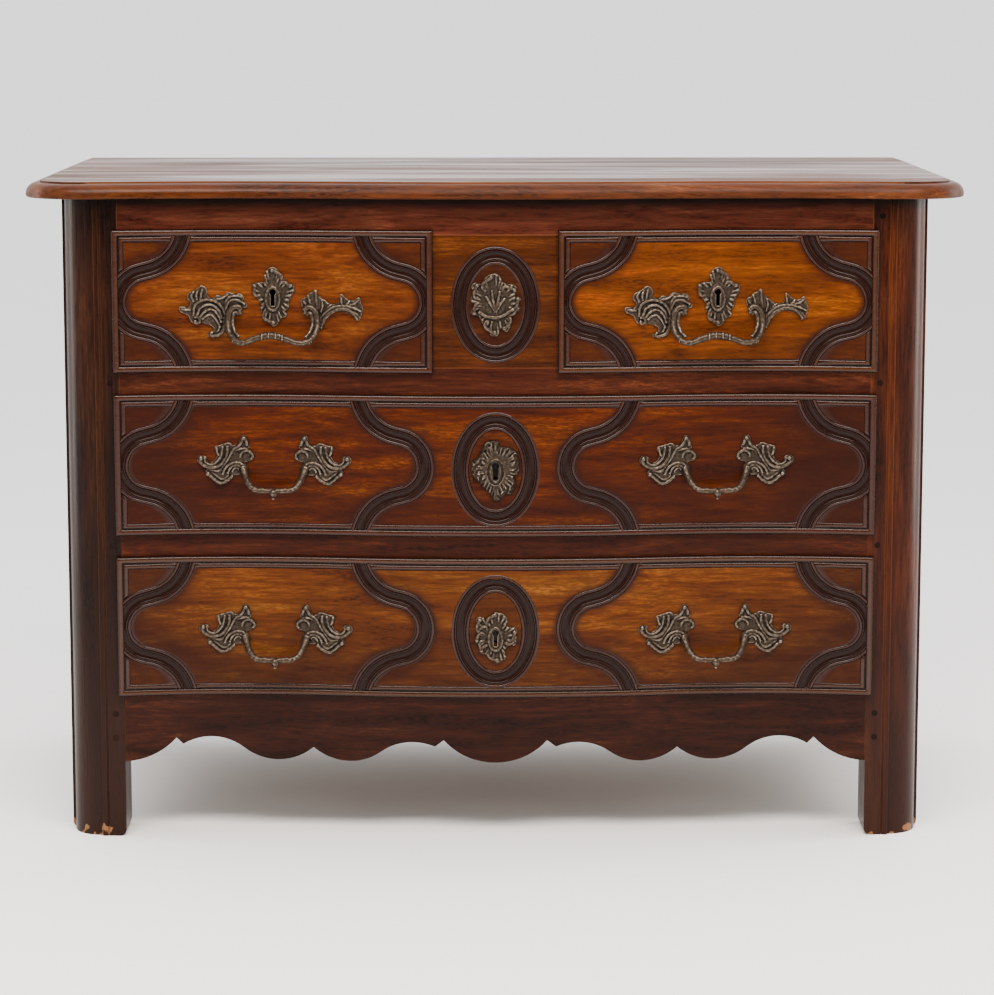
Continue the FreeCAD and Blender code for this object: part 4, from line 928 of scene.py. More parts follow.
# Painted shade at the ends (first number) and towards the foot (second) of the lower fronts
PAINTED_SHADE = dict(zip(DRAWERS, ((0.0, 0.05), (0.12, 0.05), (0.50, 0.12), (0.30, 0.24))))
for drawer in DRAWERS:
    is_long = drawer in LONG
    across, up = middle_of(drawer + "_escutcheon")
    pit = None if is_long else (across, up - PIT_DROP)
    piece = carved_front(drawer, FRONT_WOOD[drawer], is_long, pit, PAINTED_SHADE[drawer])
    front_core(drawer, RAIL_WOOD)
    print(piece.name, len(piece.data.polygons), "faces")

# %% [markdown]
# ## Carved ovals
#
# The key plates of the long drawers and the mount on the fixed panel each sit in a carved oval. The
# moulding is the accolade's own section bent round: a line of profile points is spun into a disc, and
# the disc is stretched so that the moulding keeps the same width at the top and at the sides.
# %% Ovals
OVAL_STRETCH = OVAL[1] - OVAL[0]
INNER_OVAL = OVAL[0] - 2 * BAND_HALF
OVAL_STEPS = 112
PIT_RIM = 10.0
RIM_FOOT = 2.0
OVAL_WAX = 0.4
PANEL_LIFT = 1.1


def carved_oval(name, z, lift, material, body, pit):
    """Disc with a carved rim at the middle of the front; lift is its height above the frame."""
    bm = bmesh.new()
    profile = [(OVAL[0], -WELL_DEPTH + RIM_FOOT)]
    profile += [(OVAL[0] - BAND_HALF + line, band_height(line)) for line in reversed(BAND_LINES)]
    profile += [(INNER_OVAL * share, FIELD) for share in (0.9, 0.7, 0.5, 0.3)]
    profile += [(PIT_RIM, FIELD), (PIT_RIM, -PIT_DEPTH)] if pit else [(PIT_RIM, FIELD)]
    profile.append((1.0, profile[-1][1]))
    line = [bm.verts.new((radius, 0, height)) for radius, height in profile]
    edges = [bm.edges.new(pair) for pair in zip(line, line[1:])]
    bmesh.ops.spin(
        bm, geom=line + edges, cent=(0, 0, 0), axis=(0, 0, 1), dvec=(0, 0, 0),
        angle=2 * math.pi, steps=OVAL_STEPS, use_merge=True, use_duplicate=False,
    )
    bmesh.ops.remove_doubles(bm, verts=bm.verts, dist=TOUCHING)
    bmesh.ops.holes_fill(bm, edges=rim(bm))
    wax = bm.verts.layers.float.new("wax")
    worn = bm.verts.layers.float.new("worn")
    for vert in bm.verts:
        radius = math.hypot(vert.co.x, vert.co.y)
        height = vert.co.z
        carved = radius > INNER_OVAL
        tall = radius + OVAL_STRETCH if carved else radius * (INNER_OVAL + OVAL_STRETCH) / INNER_OVAL
        in_pit = height < -PIT_DEPTH / 2
        across = radius - OVAL[0] + BAND_HALF
        # Mouldings get wax and painted shade, and the hollow behind the keyhole is black as painted shade
        vert[wax] = waxed(BORDER_END, across, height) if carved or in_pit else OVAL_WAX
        vert[worn] = BEAD_WORN if carved and height > HIGH_PLACE else 0.0
        x = vert.co.x
        vert.co = Vector((x, front_y(x, lift + height), z + vert.co.y / radius * tall))
    finish_carving(bm)
    return finish_piece(name, bm, material, body, "walnut")


for drawer in LONG:
    z = middle_of(drawer + "_front")[1] - OVAL_DROP
    carved_oval(drawer + "_oval", z, LIP_PROUD, FRONT_WOOD[drawer], drawer, True)
panel_z = middle_of("upper_left_drawer_front")[1] - OVAL_DROP
carved_oval("centre_panel_oval", panel_z, PANEL_LIFT, PANEL_WOOD, "carcass", False)
print("three ovals of", 2 * OVAL[0], "by", 2 * OVAL[1], "mm")

# %% [markdown]
# ## Bronze castings
#
# A founder cuts a sheet of wax to the outline, lays ribs, curls and pellets on it, presses the model in
# sand and pours. The castings here begin the same way: a filled curve for the sheet, curves with a
# radius at each point for the ribs, and squashed balls for the pellets. A voxel remesh melts them into
# one skin and a little smoothing makes it look poured. All is modelled flat, in millimetres, as across,
# up and out, and bent on to the serpentine at the end.
# %% Wax sheets, ribs and pellets
VOXEL = 0.75
SEAT = -1.0
SHEET_HALF = 1.1
SHEET_ROUND = 0.9
RIB_OUT = 2.7
RIB_RISE = 0.9
# Grains of the mould leave bumps of half a millimetre, about 4 mm apart
SAND = 0.45
SAND_LENGTH = 4


class Wax:
    """A wax model of sheets, ribs and balls that is cast as one skin."""

    def __init__(self):
        self.ribs = bpy.data.curves.new("wax_ribs", "CURVE")
        self.ribs.dimensions = "3D"
        self.ribs.bevel_depth = 1.0
        self.ribs.bevel_resolution = 3
        self.ribs.use_fill_caps = True
        self.sheets = bpy.data.curves.new("wax_sheets", "CURVE")
        self.sheets.dimensions = "2D"
        self.sheets.fill_mode = "BOTH"
        self.sheets.extrude = SHEET_HALF
        self.sheets.bevel_depth = SHEET_ROUND
        self.sheets.offset = -SHEET_ROUND
        self.sheets.bevel_resolution = 2
        for curve in (self.ribs, self.sheets):
            curve.resolution_u = 8
        self.skin = bmesh.new()
        self.aim(0)

    def aim(self, across, flip=1):
        """Where the next forms go; a flip of -1 mirrors them."""
        self.across, self.flip = across, flip

    def place(self, x, z, out=0.0):
        """Point of the model for a point of the form that is being laid."""
        return Vector((self.across + self.flip * x, z, out))

    def spline(self, curve, points):
        """Smooth line through points, added to a curve."""
        spline = curve.splines.new("BEZIER")
        spline.bezier_points.add(len(points) - 1)
        for knot, point in zip(spline.bezier_points, points):
            knot.co = self.place(*point)
            knot.handle_left_type = knot.handle_right_type = "AUTO"
        return spline

    def sheet(self, outline):
        """Flat sheet inside a closed outline of (across, up) points."""
        self.spline(self.sheets, outline).use_cyclic_u = True

    def strip(self, size, points, end=0.6):
        """Round strip through (across, up, out) points, tapering to a share at its end."""
        knots = self.spline(self.ribs, points).bezier_points
        for number, knot in enumerate(knots):
            knot.radius = size * (1 - (1 - end) * (number / (len(points) - 1)) ** 1.5)

    def rib(self, size, *points, out=RIB_OUT, end=0.6):
        """Strip that lies on the sheet, a little higher in its middle."""
        last = len(points) - 1
        rise = [RIB_RISE * math.sin(math.pi * number / last) for number in range(last + 1)]
        self.strip(size, [(x, z, out + more) for (x, z), more in zip(points, rise)], end)

    def scroll(self, size, x, z, radius, start, turn, out=RIB_OUT):
        """Strip that winds in from a start angle by a turn, both in degrees."""
        points = []
        for step in range(9):
            angle = math.radians(start + turn * step / 8)
            reach = radius * (1 - 0.7 * step / 8)
            points.append((x + reach * math.cos(angle), z + reach * math.sin(angle), out + 0.2 * step))
        self.strip(size, points, 0.9)

    def ball(self, x, z, out, wide, tall, thick):
        """Ball squashed to half widths across, up and out."""
        verts = bmesh.ops.create_icosphere(self.skin, subdivisions=3, radius=1.0)["verts"]
        bmesh.ops.scale(self.skin, verts=verts, vec=(wide, tall, thick))
        bmesh.ops.translate(self.skin, verts=verts, vec=self.place(x, z, out))

    def take(self, data, lift):
        """Adds the mesh of a curve, lifted out, and drops the curve."""
        before = len(self.skin.verts)
        self.skin.from_mesh(shown_mesh(data, []))
        self.skin.verts.ensure_lookup_table()
        bmesh.ops.translate(self.skin, verts=self.skin.verts[before:], vec=(0, 0, lift))

    def cast(self, hole=None):
        """One skin over everything, with an optional hole; gives a bmesh in millimetres."""
        self.take(self.ribs, 0)
        if self.sheets.splines:
            self.take(self.sheets, SHEET_HALF)
        bmesh.ops.recalc_face_normals(self.skin, faces=self.skin.faces)
        mesh = bpy.data.meshes.new("wax")
        self.skin.to_mesh(mesh)
        self.skin.clear()
        melt = ("REMESH", {"mode": "VOXEL", "voxel_size": VOXEL})
        pour = ("SMOOTH", {"factor": 0.5, "iterations": 2})
        self.skin.from_mesh(shown_mesh(mesh, [melt, pour]))
        self.skin.normal_update()
        for vert in self.skin.verts:
            vert.co += vert.normal * SAND * noise.noise(vert.co / SAND_LENGTH)
            vert.co.z = max(vert.co.z, SEAT)
        return hole(self.skin) if hole else self.skin


def shown_mesh(data, modifiers):
    """Mesh of a curve or mesh as a stack of modifiers shows it."""
    model = bpy.data.objects.new("wax", data)
    bpy.context.scene.collection.objects.link(model)
    for kind, settings in modifiers:
        modifier = model.modifiers.new(kind.lower(), kind)
        for key, value in settings.items():
            setattr(modifier, key, value)
    bpy.context.view_layer.update()
    shown = bpy.data.meshes.new_from_object(model.evaluated_get(bpy.context.evaluated_depsgraph_get()))
    bpy.data.objects.remove(model)
    (bpy.data.curves if isinstance(data, bpy.types.Curve) else bpy.data.meshes).remove(data)
    return shown


print("melted at", VOXEL, "mm")

# %% [markdown]
# The handles of the long drawers are symmetrical: a leaf on each side, with a bud on top, a frilled
# upper edge, a curl towards the middle and a long curled tip, and a bail that hangs between them and
# carries a round knob. One leaf is written down from the root of the bail and then mirrored.
# %% Handle of the long drawers
LONG_ROOT = 37.0
LEAF = (
    (-1.5, 0), (-1.5, 9.5), (2.5, 15), (-1.5, 17.5), (-7.5, 19.5), (-10.5, 24.5), (-9.5, 29.5), (-3.5, 34),
    (-4, 38), (-3, 42), (-1.5, 48), (1.5, 52.5), (6, 52.5), (8.5, 49), (12, 41.5), (17.5, 39.5), (23, 43),
    (30.5, 41.5), (37, 39.5), (42, 38), (43, 33), (39.5, 29.5), (40.5, 23.5), (47.5, 17), (53, 17),
    (54, 23.5), (59, 26), (65, 24.5), (66, 17.5), (61, 12), (54, 8.5), (56, 2.5), (53, -2.5), (47.5, -4),
    (44, -10), (37, -14.5), (28.5, -12.5), (23, -7.5), (17.5, -1.5), (12, -1), (7, 0),
)


def leaf(wax):
    """Leaf at one end of a long drawer's handle."""
    wax.sheet(LEAF)
    wax.ball(17, 17, 1, 16, 17, 3.6)
    wax.ball(34, 2, 1, 15, 10, 3.2)
    wax.ball(3.5, 6, 3, 6, 9, 5.0)
    wax.rib(1.9, (4, 7), (5, 12.5), (10, 16), (17.5, 16), (25.5, 12), (30.5, 5), (32, 0), out=4.2, end=0.9)
    wax.rib(1.7, (7.5, 7.5), (10, 12), (16, 12.5), (22, 8.5), (25.5, 1.5), out=4.4, end=0.9)
    wax.rib(1.5, (10, 7), (13.5, 9.5), (17.5, 7.5), (19.5, 3.5), out=4.4, end=0.9)
    wax.rib(2.0, (4, 49), (9.5, 39.5), (17, 34.5), (22, 25.5), (27, 17.5), (32, 10), out=3.6)
    spine = ((25.5, 39), (26, 28.5), (30.5, 18.5), (37, 12), (45.5, 9.5), (54, 11), (61, 16), (63, 22))
    wax.rib(2.3, *spine, end=1.0)
    wax.rib(1.8, (32, 38), (34.5, 25.5), (40.5, 17), (49, 13.5), (54, 16), (57, 23), end=0.9)
    wax.rib(1.9, (40.5, 36.5), (38.5, 28.5), (34.5, 23.5))
    wax.rib(2.2, (-6, 20.5), (-8, 25.5), (-5, 30), (1.5, 32), (7, 28.5), (8.5, 23.5), end=0.8)
    wax.rib(1.8, (-1, 34), (5, 35), (13.5, 33), (18.5, 28.5))
    wax.rib(2.4, (-1, 39), (0.5, 45), (4, 49.5), end=1.0)
    wax.rib(2.2, (18.5, -1.5), (27, -8.5), (35.5, -11.5), (42, -7.5), (49, -1.5), (53, 1.5), end=0.9)
    wax.rib(1.7, (24.5, 0), (32, -6), (40.5, -1.5), (46.5, 3.5))
    wax.rib(1.6, (32, 9.5), (37, 5), (45.5, 6), (52.5, 7))
    wax.ball(3.5, 48.5, 3.2, 3.4, 3.6, 3.2)
    wax.ball(52, 1, 3.4, 3.0, 2.8, 2.6)
    wax.ball(61, 22, 3.6, 3.0, 3.2, 2.8)


def long_handle():
    """Casting with two leaves and a bail that hangs between them."""
    wax = Wax()
    for flip in (1, -1):
        wax.aim(flip * LONG_ROOT, flip)
        leaf(wax)
        leg = [(5, 10, 4), (2, 1, 9), (-3, -9, 20), (-12, -16.5, 28), (-24, -18, 30), (-37, -18, 30.5)]
        wax.strip(4.8, leg, 0.74)
        wax.ball(-12, -16.5, 28, 4.6, 4.2, 4.4)
    wax.aim(0)
    wax.ball(0, -21, 31, 5.6, 6.2, 5.6)
    wax.ball(0, -27.5, 31, 2.2, 2.4, 2.2)
    return wax.cast()


def bent_on(bm, name, across, up, proud, body, *nodes):
    """Bends a flat casting on to the serpentine at a place in front view and makes it a piece."""
    for vert in bm.verts:
        x, z, out = vert.co
        vert.co = Vector((across + x, front_y(across + x, proud + out), up + z)) * MM
    bmesh.ops.recalc_face_normals(bm, faces=bm.faces)
    for face in bm.faces:
        face.smooth = True
    return finish_piece(name, bm, BRONZE, body, "bronze", *nodes)


FIELD_PROUD = LIP_PROUD + FIELD
# Middles of the handles and the heights of the bails' roots, in millimetres
HANDLE_X = 296.0
HANDLE_Z = {"upper": 695.5, "middle_drawer": 497.5, "lower_drawer": 267.5}
for drawer in LONG:
    for side, across in (("left", -HANDLE_X), ("right", HANDLE_X)):
        node = drawer + "_handles"
        name = drawer + "_" + side + "_handle_casting"
        made = bent_on(long_handle(), name, across, HANDLE_Z[drawer], FIELD_PROUD, drawer, node)
        print(name, len(made.data.polygons), "faces")

# %% [markdown]
# The handles of the short drawers are rocaille at its freest: no two sides alike. On the left a ribbed
# shell with a curled lower lobe, on the right a branch that ends in a frilled leaf, and between them a
# wavy bail that grows out of a C-scroll on each side.
# %% Handle of the short drawers
SHORT_ROOT = 58.0
SHELL = (
    (7.5, 5), (6.5, -2), (7.5, -7.5), (12.5, -12), (19, -14), (25, -13.5), (29.5, -9.5), (25, -6.5), (21, -2),
    (25.5, 3), (30.5, 6.5), (34.5, 10.5), (36.5, 7), (41, 4), (47, 5), (52, 9.5), (54.5, 15.5), (59.5, 18),
    (65, 21.5), (66, 27), (59.5, 28), (54.5, 27), (52, 33.5), (56, 39.5), (53.5, 46), (47, 49.5), (42, 52.5),
    (36, 56), (29.5, 51), (28, 42), (21.5, 39.5), (16.5, 43), (9.5, 42), (1, 47), (-7.5, 45), (-15.5, 45),
    (-20, 39.5), (-19, 35.5), (-24, 30.5), (-22, 26), (-15.5, 27), (-17.5, 22), (-13.5, 16.5), (-6.5, 15.5),
    (-1, 2),
)
BRANCH = (
    (-13.5, 18), (-19, 28), (-20, 37.5), (-14.5, 41), (-10.5, 45.5), (-5, 47.5), (-0.5, 51), (2, 45),
    (5, 40.5), (11.5, 37), (15.5, 33.5), (22, 32), (28, 32.5), (31.5, 39.5), (32.5, 45.5), (38, 41.5),
    (44, 38), (50, 37), (57.5, 41), (60, 33.5), (62.5, 27), (61, 19), (58.5, 12.5), (53.5, 9.5), (50, 14.5),
    (44, 18.5), (33.5, 21.5), (23, 20.5), (14.5, 15.5), (9.5, 8.5), (5, -2), (-1, 0), (-2.5, 12.5),
    (-7.5, 20),
)


def c_scroll(wax):
    """Leg of the bail: a double C that curls inwards on top."""
    wax.strip(4.2, [(-16, 23, 5), (-11, 27.5, 5), (-3, 24, 5.5), (1, 11, 7), (0, -4, 13), (-9, -16, 25)], 1.0)
    wax.strip(2.5, [(-13, 18, 5), (-8, 20, 6), (-5, 10, 8), (-7, -2, 13), (-14, -11, 22)], 0.9)
    wax.ball(-14, 21, 4.4, 4.2, 4.2, 3.8)
    wax.ball(3, 8, 3, 6, 10, 5.0)


def shell(wax):
    """Ribbed shell at the left of a short drawer's handle."""
    wax.sheet(SHELL)
    wax.ball(26, 18, 1, 20, 15, 3.8)
    wax.ball(-5, 33, 1, 12, 10, 3.0)
    wax.rib(2.1, (47, 15.5), (45, 29.5), (34.5, 36), (22, 36), (11.5, 29.5), (6, 19), (5, 8.5), end=0.9)
    wax.rib(1.8, (43, 15.5), (36.5, 27), (26, 30.5), (15.5, 25), (9.5, 11.5), out=4.0, end=0.9)
    wax.rib(1.7, (38.5, 14), (32, 21.5), (23.5, 24), (15.5, 18.5), (10.5, 6.5), out=4.4, end=0.9)
    wax.rib(1.6, (35.5, 11), (30.5, 15.5), (23.5, 16.5), (16.5, 9.5), (12, 0), out=4.4, end=0.9)
    wax.rib(2.0, (38.5, 36.5), (36.5, 46), (35, 53))
    wax.rib(2.0, (46.5, 34), (49.5, 43), (46.5, 47.5))
    wax.rib(1.9, (42, 37), (43, 44), (41, 50))
    wax.rib(2.0, (51, 23), (57.5, 24), (63, 24.5))
    wax.rib(2.2, (5, 21), (1, 33), (-7.5, 37), (-21, 31), end=0.8)
    wax.rib(2.0, (5, 28), (1, 39.5), (-7.5, 42), (-17.5, 40.5), end=0.8)
    wax.rib(1.8, (20, 36.5), (8.5, 39.5), (1, 44))
    wax.rib(2.3, (6.5, 5), (9, -5), (17.5, -11), (24.5, -10), (22.5, -6), end=0.9)
    wax.rib(1.7, (14, 3), (14, -3), (17, -6))
    wax.scroll(2.1, 43, 9, 5.5, 60, 330, 3.4)


def branch(wax):
    """Branch with a frilled leaf at the right."""
    wax.sheet(BRANCH)
    wax.ball(-2, 30, 1, 13, 15, 3.4)
    wax.ball(49, 27, 1, 11, 10, 3.2)
    wax.rib(3.0, (5, 0), (12.5, 14), (23, 22.5), (37.5, 25.5), (49, 20), (55, 12), out=3.4, end=0.7)
    wax.rib(2.1, (4, 10.5), (11, 19), (21, 27), (35.5, 29.5), (50, 27), (60, 22.5), out=3.8)
    wax.rib(1.8, (38.5, 28), (50, 32.5), (57.5, 38))
    wax.rib(1.8, (36.5, 29), (43, 34), (44.5, 37))
    wax.rib(1.9, (33.5, 28), (34, 35.5), (32.5, 43))
    wax.rib(1.8, (47, 23), (54.5, 18), (58, 14.5))
    wax.rib(2.1, (2.5, 19), (0.5, 33.5), (-0.5, 48.5))
    wax.rib(2.0, (-1.5, 20), (-7.5, 32.5), (-11, 43))
    wax.rib(2.0, (-4.5, 20), (-11.5, 28), (-17.5, 35.5))
    wax.rib(1.8, (6.5, 21), (8.5, 30.5), (7.5, 37.5))
    wax.rib(1.8, (13.5, 24), (16.5, 28), (21, 31.5))


def short_handle():
    """Casting with a shell, a branch and a wavy bail."""
    wax = Wax()
    wax.aim(-SHORT_ROOT, -1)
    shell(wax)
    c_scroll(wax)
    wax.aim(SHORT_ROOT)
    branch(wax)
    c_scroll(wax)
    wax.aim(0)
    left_half = [(-49, -16, 25), (-39, -18, 29), (-22, -12, 30), (-1, -8, 29)]
    wax.strip(4.4, left_half + [(20, -13, 30), (36, -18, 30), (49, -16, 25)], 1.0)
    wax.strip(5.0, [(-12, -9, 29.5), (-1, -8, 29), (11, -10, 29.5)], 1.0)
    for x, z in ((-13, -9.5), (-4, -8), (5, -8.5), (14, -11)):
        wax.ball(x, z, 30, 1.6, 5.4, 5.4)
    return wax.cast()


for drawer, across in (("upper_left_drawer", -HANDLE_X), ("upper_right_drawer", HANDLE_X)):
    name = drawer + "_handle_casting"
    up = HANDLE_Z["upper"]
    made = bent_on(short_handle(), name, across, up, FIELD_PROUD, drawer, drawer + "_handle")
    print(name, len(made.data.polygons), "faces")

# %% [markdown]
# ## Studs and nuts
#
# Each handle was cast with two studs. They pass through the front and are held by square iron nuts
# that can be seen inside the drawer.
# %% Studs and nuts
# Studs sit beside and above the root of a bail
STUD_RADIUS = 3.5
STUD_OUT = 9.0
STUD_UP = 14.0
FRONT_BACK = FRONT_Y + 32.0
STUD_END = FRONT_Y + 41.0
NUT_WIDTH = 11.0
NUT_DEPTH = 6.0
NUT_RADIUS = NUT_WIDTH / math.sqrt(2)
NUT_TURN = math.pi / 4 + 0.3
FILED_EDGE = 0.5
TO_DEPTH = Matrix.Rotation(math.radians(-90), 3, "X")


def rod(bm, across, up, start, end, radius, sides, turn=0.0):
    """Straight bar along the depth of the chest, in millimetres."""
    made = bmesh.ops.create_cone(
        bm, cap_ends=True, segments=sides, radius1=radius, radius2=radius, depth=end - start
    )["verts"]
    bmesh.ops.rotate(bm, verts=made, cent=(0, 0, 0), matrix=Matrix.Rotation(turn, 3, "Z"))
    bmesh.ops.rotate(bm, verts=made, cent=(0, 0, 0), matrix=TO_DEPTH)
    bmesh.ops.translate(bm, verts=made, vec=(across, (start + end) / 2, up))


def filed(bm, radius):
    """Brings small fittings from millimetres to metres and rounds their edges."""
    bmesh.ops.scale(bm, verts=bm.verts, vec=(MM, MM, MM))
    rounded(bm, sharp_edges(bm, 0), radius, True)
    shade(bm)
    return bm


for drawer in DRAWERS:
    is_long = drawer in LONG
    root = (LONG_ROOT if is_long else SHORT_ROOT) + STUD_OUT
    places = [-HANDLE_X, HANDLE_X] if is_long else [HANDLE_X if "right" in drawer else -HANDLE_X]
    up = HANDLE_Z[drawer if is_long else "upper"] + STUD_UP
    studs, nuts = bmesh.new(), bmesh.new()
    for across in [place + side * root for place in places for side in (-1, 1)]:
        rod(studs, across, up, front_y(across, LIP_PROUD), STUD_END, STUD_RADIUS, 20)
        rod(nuts, across, up, FRONT_BACK, FRONT_BACK + NUT_DEPTH, NUT_RADIUS, 4, NUT_TURN)
    node = drawer + ("_handles" if is_long else "_handle")
    finish_piece(drawer + "_handle_studs", filed(studs, FILED_EDGE), BRONZE, drawer, "bronze", node)
    finish_piece(drawer + "_handle_nuts", filed(nuts, FILED_EDGE), IRON, drawer, "iron")
print("studs and nuts for", len(DRAWERS), "drawers")

# %% [markdown]
# ## Key plates and the centre mount
#
# A key plate keeps the key from scratching the wood. Those of the short drawers taper downwards under
# a bud. The others, and the mount on the fixed panel, are oval and ragged like foam. The keyhole is cut
# through the skin: faces inside its outline go, the rims move on to the outline, and a wall joins them.
# %% Key plates
EYE_UP = 6.0
EYE_RADIUS = 4.3
SLOT_HALF = 2.9
SLOT_FOOT = -12.5


def in_keyhole(x, z):
    """Whether a point lies in the round eye or the slot below it."""
    return math.hypot(x, z - EYE_UP) < EYE_RADIUS or (abs(x) < SLOT_HALF and SLOT_FOOT < z < EYE_UP)


def keyhole_cut(bm):
    """Takes the skin out inside the keyhole and walls the hole."""
    inside = [face for face in bm.faces if in_keyhole(*face.calc_center_median().xy)]
    bmesh.ops.delete(bm, geom=inside, context="FACES")
    rims = rim(bm)
    for vert in {vert for edge in rims for vert in edge.verts}:
        x, z = vert.co.x, vert.co.y
        if z > EYE_UP - EYE_RADIUS * 0.9:
            share = EYE_RADIUS / max(math.hypot(x, z - EYE_UP), 0.01)
            vert.co.x, vert.co.y = x * share, EYE_UP + (z - EYE_UP) * share
        else:
            vert.co.x = math.copysign(min(abs(x), SLOT_HALF), x)
            vert.co.y = max(z, SLOT_FOOT)
    bmesh.ops.bridge_loops(bm, edges=rims)
    return bm


def cartouche(outline, hole=None):
    """Domed sheet with a curl and a pellet on each lobe, and a rim round a keyhole or a small shell."""
    wax = Wax()
    wax.sheet(outline)
    wax.ball(0, 0, 1, 15, 24, 4.2)
    reach = [math.hypot(x, z) for x, z in outline]
    for number, (x, z) in enumerate(outline):
        lobe = reach[number] > max(reach[number - 1], reach[(number + 1) % len(outline)])
        if lobe:
            swing = Matrix.Rotation(0.45 if number % 2 else -0.45, 2)
            side, inner = swing @ Vector((0.72 * x, 0.72 * z)), swing @ Vector((0.52 * x, 0.52 * z))
            wax.rib(2.6, (0.9 * x, 0.9 * z), side[:], inner[:], out=2.6, end=0.5)
            wax.ball(0.88 * x, 0.88 * z, 3.0, 3.0, 3.0, 2.6)
        else:
            wax.rib(1.9, (0.95 * x, 0.95 * z), (0.8 * x, 0.8 * z), (0.64 * x, 0.64 * z), out=2.5)
    if hole:
        turns = [0.5 * step for step in range(12)]
        oval = [(8.8 * math.sin(turn), -2.5 + 15.5 * math.cos(turn), 4.2) for turn in turns]
        wax.strip(1.9, oval + oval[:1], 1.0)
    else:
        wax.rib(2.6, (-22, -9), (-10, -15), (6, -15.5), (24, -5), out=4.4, end=0.9)
        for x, z in ((-13, 12), (-5, 20), (6, 19), (13, 10)):
            wax.rib(2.3, (0, -9), (0.6 * x, 0.35 * z), (x, z), out=4.6)
    return wax.cast(hole)


print("keyholes", EYE_UP + EYE_RADIUS - SLOT_FOOT, "mm high")

# %% [markdown]
# The outlines follow the photo lobe by lobe, clockwise from the top, as across and up from the middle
# of each plate. The short drawers share one; a founder used one model for both.
# %% Outlines of the plates
TAPERED = (
    (0, 39.5), (7.5, 35.5), (9.5, 29.5), (15.5, 26), (19, 20), (27, 16.5), (29.5, 9.5), (26, 2), (23, -5),
    (22, -13.5), (18, -19), (19, -25), (11.5, -29.5), (8.5, -34.5), (0, -39.5), (-5, -34.5), (-11.5, -30.5),
    (-13.5, -24), (-16.5, -16.5), (-15.5, -11.5), (-19, -5), (-25, 2), (-28, 10.5), (-27, 16.5), (-20, 19),
    (-11.5, 20), (-9.5, 25), (-10.5, 30.5), (-7.5, 35.5),
)
MIDDLE_PLATE = (
    (-3.5, 39.5), (4, 38.5), (6, 32), (11.5, 31.5), (18.5, 30), (26, 26), (30, 22), (29.5, 16), (32.5, 13),
    (31.5, 7.5), (32, -3), (28, -7.5), (22, -11.5), (26, -16.5), (23, -20.5), (23, -32), (15.5, -32.5),
    (11.5, -28.5), (7, -35.5), (6, -40.5), (-3.5, -40), (-6, -33.5), (-10.5, -30), (-14, -24), (-19.5, -20.5),
    (-18.5, -16), (-30, -14), (-29.5, -9.5), (-33, -2), (-32, 5), (-31, 13), (-25, 11.5), (-18.5, 16),
    (-19.5, 22.5), (-13.5, 25.5), (-10.5, 30.5), (-15, 35.5), (-10.5, 38.5),
)
LOWER_PLATE = (
    (-6, 28.5), (-1, 34), (5.5, 33.5), (12.5, 30), (16, 23.5), (14, 18.5), (18.5, 14), (26.5, 13), (29, 7.5),
    (25.5, 3.5), (29.5, 0), (29, -5), (26.5, -10.5), (18.5, -11.5), (14, -16), (12.5, -23), (14, -29),
    (9, -32.5), (2.5, -36), (-3.5, -32.5), (-8.5, -27), (-13.5, -24), (-21.5, -20.5), (-20.5, -16),
    (-15.5, -14), (-23, -10.5), (-28.5, -4.5), (-26, 3.5), (-26.5, 10), (-23.5, 15), (-26, 21), (-24, 26.5),
    (-18.5, 27.5), (-15, 23.5), (-10.5, 22),
)
CENTRE_MOUNT = (
    (-14.5, 35), (-7, 41), (1.5, 41.5), (7, 37), (9.5, 31.5), (14.5, 28.5), (23.5, 27.5), (28.5, 22.5),
    (26.5, 16.5), (27.5, 10.5), (34, 9.5), (32, 2.5), (33, -4), (28.5, -10.5), (22, -13.5), (22, -24.5),
    (19, -31.5), (13.5, -35.5), (8, -31), (4, -39.5), (-1.5, -42), (-7.5, -39), (-7, -33), (-13, -30),
    (-19, -21), (-22.5, -15), (-32, -12.5), (-32, -6), (-28, -1.5), (-33, 5.5), (-31.5, 12.5), (-28.5, 18.5),
    (-32, 24.5), (-28, 29.5), (-18, 28.5), (-15.5, 31.5),
)


outlines = zip(DRAWERS, (TAPERED, TAPERED, MIDDLE_PLATE, LOWER_PLATE))
plates = [(drawer + "_escutcheon", outline, keyhole_cut, FIELD_PROUD) for drawer, outline in outlines]
plates.append(("centre_mount", CENTRE_MOUNT, None, PANEL_LIFT + FIELD))
for node, outline, hole, proud in plates:
    across, up = middle_of(node)
    casting = cartouche(outline, hole)
    made = bent_on(casting, node + "_casting", across, up, proud, BODY_OF[node], node)
    print(node, len(made.data.polygons), "faces")

# %% [markdown]
# ## Locks
#
# Each drawer has an iron lock let into the back of its front. Case and bolt keep their CAD shape with
# softened edges, and four filed screws hold the case.
# %% Locks
SCREW_RADIUS = 4.0
SCREW_INSET = 8.0
SCREW_RISE = 1.4
SCREW_EDGE = 0.6
for drawer in DRAWERS:
    case = drawer + "_lock_case"
    dressed(case, IRON, "iron", FILED_EDGE)
    dressed(drawer + "_lock_bolt", IRON, "iron", FILED_EDGE)
    low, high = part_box(case)
    bm = bmesh.new()
    for across in (low.x / MM + SCREW_INSET, high.x / MM - SCREW_INSET):
        for up in (low.z / MM + SCREW_INSET, high.z / MM - SCREW_INSET):
            rod(bm, across, up, high.y / MM - SCREW_RISE, high.y / MM + SCREW_RISE, SCREW_RADIUS, 18)
    finish_piece(drawer + "_lock_screws", filed(bm, SCREW_EDGE), IRON, drawer, "iron")
print("locks of", len(DRAWERS), "drawers")

